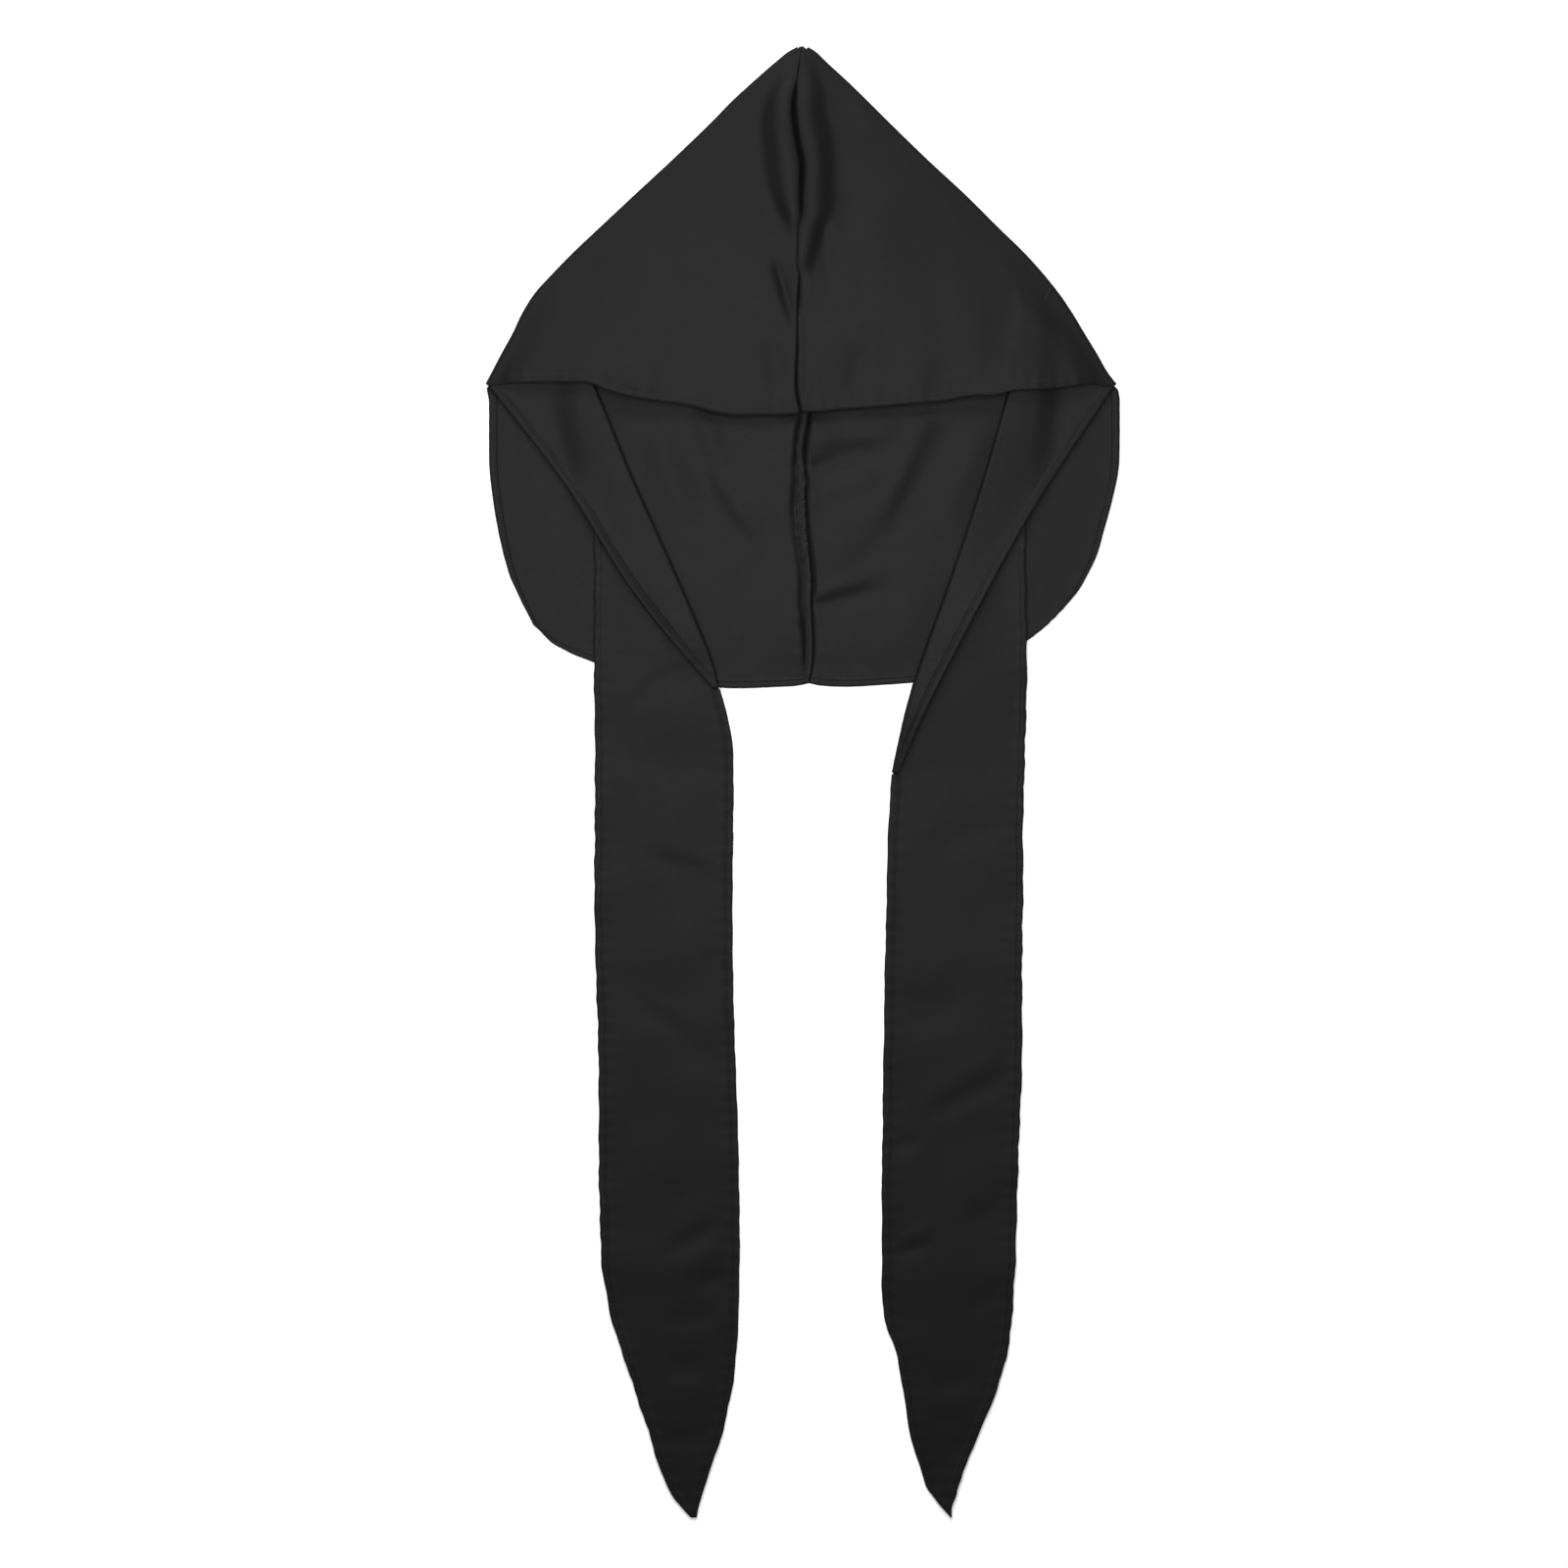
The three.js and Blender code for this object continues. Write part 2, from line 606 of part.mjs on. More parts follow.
// The same allowance under the front layer, hanging from the bottom of the seam's groove
function frontAllowance() {
  const sheet = new Cloth();
  const top = crownHeight - peakStop;
  const bottom = hemMiddle + 2 * hemWidth;
  const steps = 20;
  const rows = Array.from({ length: steps + 1 }, (_, i) => {
    const y = mix(top, bottom, i / steps);
    const middle = frontSeamAt(y);
    const along = clamp((rowHeight(0) - y) / (rowHeight(0) - rowHeight(1)));
    const lowest = Math.min(...[-1, 1].flatMap((side) => [0, 0.5, 1].map((share) => {
      const spot = point(middle + side * share * seamAllowance, y);
      return frontHeight(side, spot, foldDistance(side, along, spot));
    })));
    const z = lowest - (cloth + seamPly) / 2 - 2 * clearance;
    return sheet.addRow([-1, 0, 0.5].map((share) => new THREE.Vector3(middle + share * seamAllowance, y, z)));
  });
  for (let i = 1; i < rows.length; i += 1) sheet.join(rows[i], rows[i - 1]);
  return sheet.geometry(seamPly);
}

// Hem turned under the front edge, from beside the centre seam to just short of the front corner
function frontHemBand(side) {
  const sheet = new Cloth();
  const drop = (cloth + hemPly) / 2 + clearance;
  const columns = seamToEdge.filter((across) => across > 0 && across < 0.96);
  const rows = [hemStart, 1].map((along) => sheet.addRow(inOrder(side, columns.map((across) => {
    const spot = crownPoint(side, along, across, frontSeamAt);
    return raised(spot, frontHeight(side, spot, foldDistance(side, along, spot)) - drop);
  }))));
  sheet.join(rows[0], rows[1]);
  return sheet.geometry(hemPly);
}

const finish = (color) => new THREE.MeshStandardMaterial({ color, roughness: clothRoughness, metalness: 0 });

function piece(name, geometry, color) {
  const mesh = new THREE.Mesh(geometry, finish(color));
  mesh.name = name;
  return mesh;
}

const durag = new THREE.Group();
for (const side of [-1, 1]) {
  durag.add(piece(`panel_${sideName(side)}`, panel(side), clothColour));
  durag.add(piece(`tie_${sideName(side)}`, tie(side), clothColour));
  durag.add(piece(`front_hem_${sideName(side)}`, frontHemBand(side), hemColour));
}
durag.add(piece('centre_seam_back', backAllowance(), hemColour));
durag.add(piece('centre_seam_front', frontAllowance(), hemColour));

export default durag;
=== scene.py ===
"""Durag laid flat on its back: two crown panels that run on into the cape, and two ties folded in.

Lengths are in millimetres until a mesh is made; +Y points to the peak of the crown, +Z up. Every cloth
is a surface worked out on a grid of two parameters, then given its thickness.
"""
import math

import bpy
import numpy as np
from bpy.props import FloatProperty, FloatVectorProperty, PointerProperty
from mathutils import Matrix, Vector


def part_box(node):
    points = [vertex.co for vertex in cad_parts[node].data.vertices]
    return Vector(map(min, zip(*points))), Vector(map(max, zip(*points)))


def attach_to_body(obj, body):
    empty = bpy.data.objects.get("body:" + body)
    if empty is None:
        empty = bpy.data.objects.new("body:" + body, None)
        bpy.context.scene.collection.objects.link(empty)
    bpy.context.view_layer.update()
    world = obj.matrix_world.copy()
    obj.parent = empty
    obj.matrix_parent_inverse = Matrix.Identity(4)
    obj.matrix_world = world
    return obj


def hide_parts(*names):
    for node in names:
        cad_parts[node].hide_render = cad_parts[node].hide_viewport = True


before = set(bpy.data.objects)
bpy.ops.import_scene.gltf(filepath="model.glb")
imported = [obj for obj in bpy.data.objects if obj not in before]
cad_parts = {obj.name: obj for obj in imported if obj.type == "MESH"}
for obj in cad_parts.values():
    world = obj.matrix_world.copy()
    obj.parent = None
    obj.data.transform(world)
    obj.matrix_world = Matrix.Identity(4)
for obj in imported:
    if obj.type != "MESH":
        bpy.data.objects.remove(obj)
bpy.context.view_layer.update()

bl_info = {
    "name": "Laid Durag",
    "version": (1, 0, 0),
    "blender": (4, 5, 0),
    "location": "3D View > Sidebar > Durag",
    "description": "Builds a black cloth durag laid flat, with its materials, light and camera",
    "category": "Add Mesh",
}

MM = 0.001
SIDES = {"left": -1, "right": 1}


def box_mm(node):
    """Lowest and highest corners of a node in millimetres."""
    return np.array(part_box(node)) / MM


def table(columns, *rows):
    """A table with named columns, each an array with one value for each row."""
    return dict(zip(columns.split(), np.array(rows, float).T))


# Side fold of the crown from the peak to the front corner: up in crown heights, sides in half widths.
CROWN_OUTLINE = table(
    "up left right",
    (0.999, 0.018, 0.012), (0.985, 0.048, 0.038), (0.96, 0.084, 0.068), (0.90, 0.163, 0.143),
    (0.85, 0.226, 0.202), (0.80, 0.282, 0.260), (0.69, 0.413, 0.390),
    (0.59, 0.537, 0.514), (0.49, 0.660, 0.630),
    (0.43, 0.733, 0.701), (0.37, 0.800, 0.763), (0.32, 0.852, 0.809), (0.265, 0.892, 0.852),
    (0.21, 0.922, 0.890), (0.15, 0.960, 0.932), (0.10, 0.990, 0.965), (0.07, 1.008, 0.992),
)

# Side edge of the cape from the front corner to its lower corner: down in cape lengths.
CAPE_OUTLINE = table(
    "down left right",
    (-0.085, 1.008, 0.996), (-0.04, 0.998, 1.001), (0.0, 0.997, 1.001), (0.11, 0.997, 1.001),
    (0.22, 0.995, 0.997), (0.32, 0.985, 0.979), (0.43, 0.969, 0.953), (0.54, 0.947, 0.924),
    (0.60, 0.931, 0.898), (0.65, 0.912, 0.873), (0.70, 0.891, 0.838), (0.78, 0.856, 0.770),
)

# Lower edge of the cape: out in shares of the lower corner's distance, sides in cape lengths.
CAPE_HEM = table(
    "out left right",
    (0.0, 0.990, 0.990), (0.04, 0.998, 0.997), (0.12, 1.003, 1.002), (0.30, 1.007, 0.996),
    (0.45, 0.992, 0.985), (0.60, 0.962, 0.960), (0.78, 0.914, 0.897), (0.88, 0.873, 0.856),
    (0.94, 0.838, 0.822), (0.98, 0.797, 0.795), (1.0, 0.780, 0.780),
)

# Front hem: out in half widths, sides in crown heights.
FRONT_HEM = table(
    "out left right",
    (0.0, -0.011, -0.009), (0.05, -0.016, -0.008), (0.12, -0.017, -0.002), (0.25, -0.014, 0.006),
    (0.36, 0.010, 0.014), (0.45, 0.021, 0.021), (0.55, 0.035, 0.036), (0.62, 0.052, 0.038),
    (0.68, 0.071, 0.049), (0.75, 0.073, 0.052), (0.85, 0.073, 0.060), (0.93, 0.072, 0.070),
    (1.0, 0.078, 0.066),
)

# Centre seam of the front: up in crown heights, side in half widths, rise in pocket lofts, distance of
# the left and right lip in seam allowances, parted from 0 where closed to 1 where the layers stand open.
FRONT_SEAM = table(
    "up side rise left right parted",
    (-0.01, -0.009, 0.00, 0.7, 0.7, 0.25), (0.05, -0.022, 0.00, 0.7, 0.7, 0.35),
    (0.10, -0.023, 0.02, 0.7, 0.7, 0.30),
    (0.17, -0.020, 0.05, 0.7, 0.7, 0.15), (0.25, -0.020, 0.12, 0.7, 0.7, 0.0),
    (0.32, -0.016, 0.20, 0.5, 0.5, 0.3),
    (0.38, -0.012, 0.34, 0.4, 0.5, 0.1), (0.45, -0.008, 0.50, 0.35, 0.68, 0.0),
    (0.51, -0.006, 0.58, 0.55, 0.82, 0.0),
    (0.57, -0.008, 0.62, 0.85, 1.0, 0.6), (0.62, -0.006, 0.66, 1.1, 1.0, 0.85),
    (0.67, -0.005, 0.70, 1.2, 1.0, 0.95),
    (0.75, -0.022, 0.70, 1.1, 1.1, 0.9), (0.83, -0.031, 0.58, 1.0, 1.0, 0.9),
    (0.87, -0.027, 0.44, 0.9, 0.95, 0.6),
    (0.90, -0.022, 0.30, 0.8, 0.8, 0.0), (1.0, -0.006, 0.00, 0.5, 0.5, 0.0),
)

# Centre seam of the back and the cape: down in cape lengths, side in half widths, spread of its allowance
# and rise of the cloth to its left and right in millimetres.
BACK_SEAM = table(
    "down side spread left right",
    (-1.32, -0.006, 4.5, 0.0, 0.0), (-0.6, 0.010, 4.5, 0.0, 0.0), (-0.1, 0.024, 4.5, 1.2, 1.5),
    (0.0, 0.022, 4.5, 1.2, 1.6), (0.05, 0.0155, 4.5, 1.2, 1.6), (0.10, 0.0075, 4.4, 1.1, 1.5),
    (0.16, 0.003, 4.3, 1.0, 1.4), (0.20, 0.004, 4.8, 1.0, 0.7), (0.24, 0.009, 5.4, 0.9, 0.5),
    (0.31, 0.008, 6.2, 0.9, 1.0), (0.38, 0.011, 6.8, 0.5, 0.6), (0.45, 0.0145, 6.4, 0.2, 0.9),
    (0.55, 0.023, 5.3, 0.15, 0.6), (0.62, 0.0275, 5.2, 0.3, 0.5), (0.68, 0.025, 4.9, 0.7, 1.3),
    (0.76, 0.028, 4.5, 1.0, 0.7), (0.87, 0.031, 4.1, 0.9, 0.7), (0.93, 0.028, 4.0, 0.2, 0.2),
    (1.0, 0.0155, 4.0, 0.0, 0.0),
)

# Folds of the cape. Sides in half widths, downs in cape lengths, rise and spread in millimetres, widening
# of the spread from the fold's start to its end.
CAPE_FOLDS = table(
    "from_side from_down to_side to_down rise spread widening",
    (0.515, -0.06, 0.23, 0.56, -0.9, 6.5, 1.2), (0.42, -0.06, 0.22, 0.46, 1.1, 6.0, 1.0),
    (0.42, 0.22, 0.05, 0.73, -0.7, 7.0, 1.2), (0.60, 0.02, 0.38, 0.55, 0.7, 7.0, 1.0),
    (-0.05, 0.730, 0.34, 0.625, -1.1, 2.2, 2.8), (0.00, 0.68, 0.30, 0.57, 1.2, 4.5, 1.2),
    (-0.03, 0.222, 0.33, 0.135, -1.5, 3.6, 1.5), (0.00, 0.11, 0.32, 0.075, 1.1, 4.0, 1.0),
    (0.04, 0.30, 0.30, 0.21, 0.9, 5.0, 1.0), (-0.33, -0.05, -0.27, 0.24, 0.8, 5.5, 1.0),
    (-0.27, 0.04, -0.17, 0.27, -0.6, 5.0, 1.0), (-0.40, 0.10, -0.17, 0.54, -0.8, 8.0, 1.1),
    (-0.25, 0.36, -0.04, 0.70, -0.7, 8.0, 1.2), (-0.31, 0.18, -0.08, 0.58, 1.0, 4.5, 1.0),
    (-0.48, 0.00, -0.34, 0.60, 0.8, 7.0, 1.0),
)

# Folds of the front layer. Sides in half widths, ups in crown heights, the rest as for the cape.
FRONT_FOLDS = table(
    "from_side from_up to_side to_up rise spread widening",
    (-0.098, 0.43, -0.022, 0.20, -1.5, 2.4, 0.9), (-0.070, 0.43, 0.000, 0.20, -1.2, 5.5, 0.8),
    (-0.170, 0.56, -0.020, 0.37, -0.9, 9.0, 0.8), (-0.110, 0.20, -0.070, 0.02, -0.8, 5.0, 1.0),
    (0.190, 0.18, 0.140, 0.00, -0.8, 5.5, 1.0), (0.225, 0.17, 0.190, 0.01, 0.3, 5.0, 1.0),
    (-0.26, 0.58, -0.09, 0.38, -0.6, 8.0, 1.0), (0.15, 0.64, 0.12, 0.40, -0.6, 7.0, 1.0),
    (0.06, 0.52, 0.09, 0.30, -0.9, 4.0, 1.4),
)

# Height of the front hem beside the pocket's level: it sinks to the cape in the middle and stands over
# the ties. Out in half widths, rises in millimetres.
HEM_STAND = table(
    "out left right",
    (0.0, -2.0, -2.0), (0.06, -2.1, -2.1), (0.14, -2.0, -2.2), (0.25, -1.8, -2.0), (0.36, -1.3, -1.7),
    (0.44, -1.2, -2.2), (0.50, 0.4, -1.0), (0.57, 1.9, 0.4), (0.64, 2.7, 1.6), (0.72, 2.1, 2.4),
    (0.82, 1.6, 2.1), (0.90, 1.4, 1.9), (0.96, 0.7, 0.9), (1.0, 0.0, 0.0),
)

# Where each tie hangs and is creased: centre in half widths, foot of the crease in cape lengths, its head
# in crown heights, root as a share of the side fold.
TIE_PLACES = {
    "left": {"centre": 0.444, "foot": 1.003, "head": 0.10, "root": 0.80},
    "right": {"centre": 0.475, "foot": 1.312, "head": 0.21, "root": 0.74},
}

# Bow of a crease inward from the line between its ends, in millimetres.
CREASE_BOW = table(
    "along left right",
    (0.0, 0.0, 0.0), (0.07, 1.2, 1.0), (0.20, 1.6, 2.0), (0.39, 1.2, 0.5), (0.53, 0.5, -0.5),
    (0.68, -0.2, -1.0), (0.85, 0.0, -0.3), (1.0, 0.0, 0.0),
)

# Edges of a tie's straight run: down in hangs, each edge's wander outward in millimetres.
TIE_EDGES = table(
    "down left_outer left_inner right_outer right_inner",
    (0.00, 6.0, 6.0, 5.0, 3.6), (0.08, 1.8, 6.0, 2.4, 3.6), (0.12, 0.3, 6.0, 1.6, 3.6),
    (0.20, 0.2, 6.0, 2.2, 3.6), (0.252, 0.4, 6.0, 2.3, 3.6), (0.272, 0.2, 3.0, 2.0, 3.6),
    (0.294, 0.0, 0.2, 1.7, 3.6), (0.32, 0.0, -0.7, 1.2, 3.5), (0.338, 0.0, -0.8, 1.0, 3.0),
    (0.382, 0.1, -0.6, 0.3, 1.5), (0.427, 0.3, -0.3, 0.6, 0.9), (0.471, 0.0, -0.3, 0.1, 0.4),
    (0.515, -0.6, -0.6, -0.1, -0.3), (0.559, -1.5, -1.2, 0.0, -0.5), (0.604, -1.9, -2.1, -0.3, -1.1),
    (0.648, -2.0, -3.0, -1.4, -1.2), (0.692, -2.0, -3.5, -2.2, -1.7), (0.736, -2.7, -3.9, -2.9, -1.6),
    (0.77, -3.2, -3.9, -3.4, -1.6),
)

# Pointed end of a tie: along in point lengths, edges in tie widths outward from the middle.
TIE_TIP = table(
    "along left_outer left_inner right_outer right_inner",
    (0.000, 0.486, -0.495, 0.486, -0.494), (0.116, 0.450, -0.490, 0.472, -0.494),
    (0.232, 0.407, -0.486, 0.458, -0.470), (0.347, 0.336, -0.471, 0.429, -0.393),
    (0.463, 0.264, -0.450, 0.372, -0.352), (0.579, 0.193, -0.407, 0.293, -0.316),
    (0.695, 0.121, -0.357, 0.200, -0.281), (0.811, 0.057, -0.279, 0.115, -0.208),
    (0.888, -0.007, -0.236, 0.063, -0.163), (0.927, -0.050, -0.214, 0.045, -0.108),
    (0.965, -0.107, -0.193, 0.022, -0.050), (1.000, -0.166, -0.182, 0.022, 0.008),
)

# Bow of the diagonal run's free edge towards the crease, in tie widths.
DIAGONAL_BOW = table("along left right", (0.35, 0.017, 0.08), (0.65, -0.043, 0.075), (0.85, -0.03, 0.05))

# Radius of the crease's soft roll from foot to head, in layer steps.
CREASE_ROLL = table("along radius", (0, 0.6), (0.1, 0.85), (0.35, 1.2), (0.7, 1.4), (0.85, 1.4), (1, 0.9))

# Wrinkles across the ties: down in hangs, start and end as shares across from the outer edge, slant, rise
# and spread in millimetres.
TIE_WRINKLES = {
    "left": table(
        "down start end slant rise spread",
        (0.414, 0.34, 0.95, -15, -0.62, 5.2), (0.400, 0.30, 0.90, -14, 0.31, 9.1),
        (0.551, 0.25, 0.70, -16, -0.50, 6.5),
        (0.575, 0.45, 0.95, -12, -0.31, 10.4), (0.497, 0.75, 0.97, 4, -0.25, 6.5),
        (0.750, 0.42, 0.97, 19, -0.62, 5.9),
        (0.768, 0.55, 0.97, 17, 0.37, 6.5), (0.787, 0.74, 0.97, 6, -0.50, 4.5),
        (0.821, 0.45, 0.92, 3, -0.56, 5.2),
        (0.706, 0.42, 0.97, 15, -0.31, 7.8), (0.866, 0.50, 0.85, 0, -0.43, 6.5),
        (0.929, 0.45, 0.85, 2, -0.37, 5.2),
        (0.245, 0.25, 0.90, 22, -0.90, 5.5), (0.640, 0.10, 0.70, 10, -0.25, 10.4),
        (0.450, 0.05, 0.40, 8, -0.25, 9.1),
    ),
    "right": table(
        "down start end slant rise spread",
        (0.385, 0.10, 0.75, -10, -0.37, 7.8), (0.620, 0.03, 0.80, -25, -0.68, 7.2),
        (0.602, 0.05, 0.75, -24, 0.37, 9.1),
        (0.663, 0.72, 0.97, -2, -0.43, 4.5), (0.744, 0.62, 0.92, -8, 0.43, 5.2),
        (0.758, 0.66, 0.95, -5, -0.50, 4.5),
        (0.803, 0.12, 0.40, -8, -0.37, 5.9), (0.728, 0.15, 0.45, -4, -0.31, 5.2),
        (0.470, 0.20, 0.80, -12, -0.25, 10.4),
        (0.540, 0.30, 0.90, -16, -0.25, 11.7), (0.880, 0.30, 0.70, -5, -0.37, 6.5),
        (0.911, 0.40, 0.70, 0, -0.31, 5.2),
    ),
}

# Slow waves of each cloth: lowest height and swing in millimetres, wavelengths in millimetres, seed.
WAVES = {
    "back": (0.9, 0.45, (34, 47, 61), 2),
    "front": (0.0, 0.6, (38, 52, 71, 95), 9),
    "tie": (0.6, 0.45, (41, 57, 83), 5),
}

# Lengths in millimetres that belong to the cloth and not to its cut.
SEAM_GAP = 0.12  # from the seam's line to a panel's edge
LAP_REACH = 1.9  # of the right layer over the left one, just below the slit
PEAK_RISE, PEAK_FADE = 2.0, 5.0  # the peak's rounding upward, and the distance over which it fades
FREE_LIFT, FREE_REACH = 4.1, 11.0  # lift of a diagonal run's free edge, and how far in it reaches
SHOULDER_STEP, SHOULDER_REACH = 0.95, 9.0  # steep side and long fall of the cloth beside the cape's seam
EDGE_ROUND, HEM_ROUND, SEAM_ROUND = 1.1, 1.9, 0.6  # widths over which an edge of the cloth thins out
THINNEST = 0.12  # square of the share of its thickness that a cloth keeps at its edge
STITCH_INSET, STITCH_SINK = 0.9, 0.35  # from a hem's inner edge to its stitch line, the line's reach
ROOM = 0.1  # between the diagonal run and the straight run below it
ROLL_LEVEL, ROLL_REACH = (0.5, 4.2), (9.0, 25.0)  # where the diagonal run leaves its roll's height and
# where it is down, at the crease's foot and further up; both are reached at ROLL_GROWTH of the crease
ROLL_GROWTH = 0.6
RIDGE_RISE, DIP_DEPTH, DIP_SPREAD = 0.75, 0.55, 8.0  # of the diagonal run past its roll
GROOVE_DEPTH, GROOVE_WIDTH = (0.35, 2.8), (0.45, 1.3)  # of the front's seam, closed and parted
PRESSED_RISE, PRESSED_PLACE, PRESSED_SPREAD = 0.22, 2.6, 0.7  # of the allowance's edge pressed through
LAP_RISE, LAP_SPREAD = 1.0, 3.5  # of the right layer over the left one, which sinks as much
HEM_DROP, ALLOWANCE_DROP = 0.5, 0.75  # clearances under the front layer: over a tie, over its allowance
UNSEEN = 99.0  # a distance at which no edge has any effect
PUCKER_WAVES, PUCKER_RISE = (7.3, 19.0, 4.1), 0.11  # of a stitched edge: its wave, its slow and quick ones
PUCKER_PLACE, PUCKER_SPREAD = 2.5, 6.0  # where a stitched edge puckers most, and how far in
SLOW_WAVE, QUICK_WAVE, QUICK_SWELL = (0.2, 23.0), (0.16, 8.3), 31.0  # rise and length, of a tie's edges
TIE_END = (4.0, 0.9)  # least width of a tie's point, and its width at the very end
SHOWN_BELOW = {"left": -65.0, "right": -70.0}  # where a tie's outer stitch line comes into sight

# Lips of the front's seam, in shares of their distance from it: width of the lip, place of the valley
# beyond it, and the valley's width on its inner and outer side; depth of the valley in lip rises.
LIP_WIDTH, VALLEY_PLACE, VALLEY_INNER, VALLEY_OUTER, VALLEY_DEPTH = 1.1, 2.8, 1.1, 3.3, 0.5

# Grid sizes of the cloths. The stations are distances from an edge, in millimetres, that a grid has
# besides its even ones, beside a hem and beside a diagonal run's free edge, which lies about a span away.
PANEL_COLUMNS, CROWN_ROWS, CAPE_ROWS, TURN_STEPS = 92, 96, 72, 8
TIE_COLUMNS, DIAGONAL_COLUMNS, POINT_ROWS, ROLL_STEPS = 38, 40, 70, 10
HANG_ROWS = {"left": 190, "right": 165}
CREASE_ROWS = {"left": 120, "right": 150}
HEM_STATIONS = (0.15, 0.4, 0.8, 1.3, 3.1, 3.6, 4.1, 4.7)
FREE_STATIONS = (0.3, 0.8, 1.6, 2.4, 3.2, 4.0, 4.8, 5.6, 6.4, 7.2)
DIAGONAL_SPAN = 60

# Thread stitches: pitch, length, width and height in millimetres.
HEM_STITCH = (2.6, 2.1, 0.42, 0.3)
OVERLOCK_STITCH = (1.9, 2.4, 0.4, 0.3)
STITCH_RINGS, STITCH_SIDES, STITCH_TAPER = 5, 6, 0.92

# Soft square lights: place and target in metres, size in metres, energy in watts.
LIGHTS = {
    "key_light": ((-0.2, 1.15, 0.85), (-0.02, 0.0, 0.0), 0.45, 17.0),
    "overhead_light": ((-0.05, -0.03, 0.72), (-0.05, -0.03, 0.0), 0.55, 6.5),
}
WORLD_STRENGTH = 0.42

# Bump strength of each material, depth of the bumps in metres, pitch of the weave in millimetres.
BUMPS = {"woven_cloth": 0.35, "sewing_thread": 0.2}
BUMP_DEPTH, WEAVE_PITCH = 0.00012, 0.42
FLOOR_REACH, FLOOR_LEVEL, FLOOR_ROUGHNESS, FLOOR_GLOW = 6.0, -0.0004, 0.9, 0.09
CAMERA_SPOT, CAMERA_HEIGHT, FRAME_WIDTH, SENSOR_WIDTH = (-0.010, -0.191), 3.2, 0.8, 36.0


def clamp(value):
    """The value, but no less than 0 and no more than 1."""
    return np.clip(value, 0.0, 1.0)


def smooth(value):
    """Rises from 0 to 1 with level ends: 3u^2 - 2u^3."""
    share = clamp(value)
    return share * share * (3 - 2 * share)


def mix(start, end, share):
    """start + (end - start) * share."""
    return start + (end - start) * share


def soft_max(first, second, ease):
    """Larger of two values, rounded where they meet: (a + b + sqrt((a - b)^2 + ease^2)) / 2."""
    return (first + second + np.hypot(first - second, ease)) / 2


def read(rows, column, at):
    """Cubic curve through a table's rows over its first column, which rises. The slope at a row is taken
    from its neighbours."""
    x, y = next(iter(rows.values())), rows[column]
    slope = np.gradient(y, x)
    at = np.asarray(at, float)
    index = np.clip(np.searchsorted(x, at) - 1, 0, len(x) - 2)
    span = x[index + 1] - x[index]
    u = clamp((at - x[index]) / span)
    ends = y[index] * (1 + 2 * u) * (1 - u) ** 2 + y[index + 1] * u * u * (3 - 2 * u)
    return ends + span * u * (1 - u) * ((1 - u) * slope[index] - u * slope[index + 1])


def run_lengths(points):
    """Length along a line of points at each of them: the sum of the steps before it."""
    return np.concatenate([[0.0], np.cumsum(np.linalg.norm(np.diff(points, axis=0), axis=1))])


class Path:
    """Smooth plan curve through points: a cubic of each coordinate over the length of the chords between
    them, read by its share of length."""

    def __init__(self, points, samples=1500):
        knots = run_lengths(points)
        rows = {"knot": knots, "x": points[:, 0], "y": points[:, 1]}
        fine = np.linspace(0, knots[-1], samples)
        self.x, self.y = read(rows, "x", fine), read(rows, "y", fine)
        run = run_lengths(np.stack([self.x, self.y], -1))
        self.length, self.share = run[-1], run / run[-1]

    def at(self, share):
        """Points at shares of the length."""
        return np.stack([np.interp(share, self.share, self.x), np.interp(share, self.share, self.y)], -1)

    def direction(self, share, step=0.004):
        """Unit direction: from a step before each share to a step after it."""
        run = self.at(clamp(np.asarray(share) + step)) - self.at(clamp(np.asarray(share) - step))
        return run / np.linalg.norm(run, axis=-1, keepdims=True)


def undulation(spot, lengths, seed):
    """Mean of sine waves in fixed directions, one for each wavelength, each bent by a slower sine across
    it: sin(2 pi run / length + phase + 1.5 sin(2 pi cross / (2.3 length)))."""
    total = np.zeros(spot.shape[:-1])
    for number, length in enumerate(lengths):
        angle = seed * 1.7 + number * 2.399
        phase = seed * 3.1 + number * 1.3
        run = spot[..., 0] * math.cos(angle) + spot[..., 1] * math.sin(angle)
        cross = spot[..., 1] * math.cos(angle) - spot[..., 0] * math.sin(angle)
        bend = 1.5 * np.sin(2 * np.pi * cross / (2.3 * length))
        total += np.sin(2 * np.pi * run / length + phase + bend)
    return total / len(lengths)


def waves(cloth, spot):
    """Slow waves of a cloth: its lowest height plus its swing times the undulation."""
    base, swing, lengths, seed = WAVES[cloth]
    return base + swing * undulation(spot, lengths, seed)


def fold_relief(spot, folds, scales):
    """Ridges and valleys along straight lines, summed: a bell rise * exp(-(aside / spread)^2) across
    each, with the spread widening along it, faded in over its first quarter and out over its last
    half."""
    relief = np.zeros(spot.shape[:-1])
    for row in zip(*folds.values()):
        from_x, from_y, to_x, to_y = np.array(row[:4]) * scales
        rise, spread, widening = row[4:]
        start, run = np.array([from_x, from_y]), np.array([to_x - from_x, to_y - from_y])
        share = ((spot - start) @ run) / (run @ run)
        aside = (spot - start) @ np.array([-run[1], run[0]]) / np.hypot(*run)
        bell = np.exp(-(aside / (spread * mix(1.0, widening, clamp(share)))) ** 2)
        relief += rise * bell * smooth(share / 0.25) * smooth((1 - share) / 0.5)
    return relief


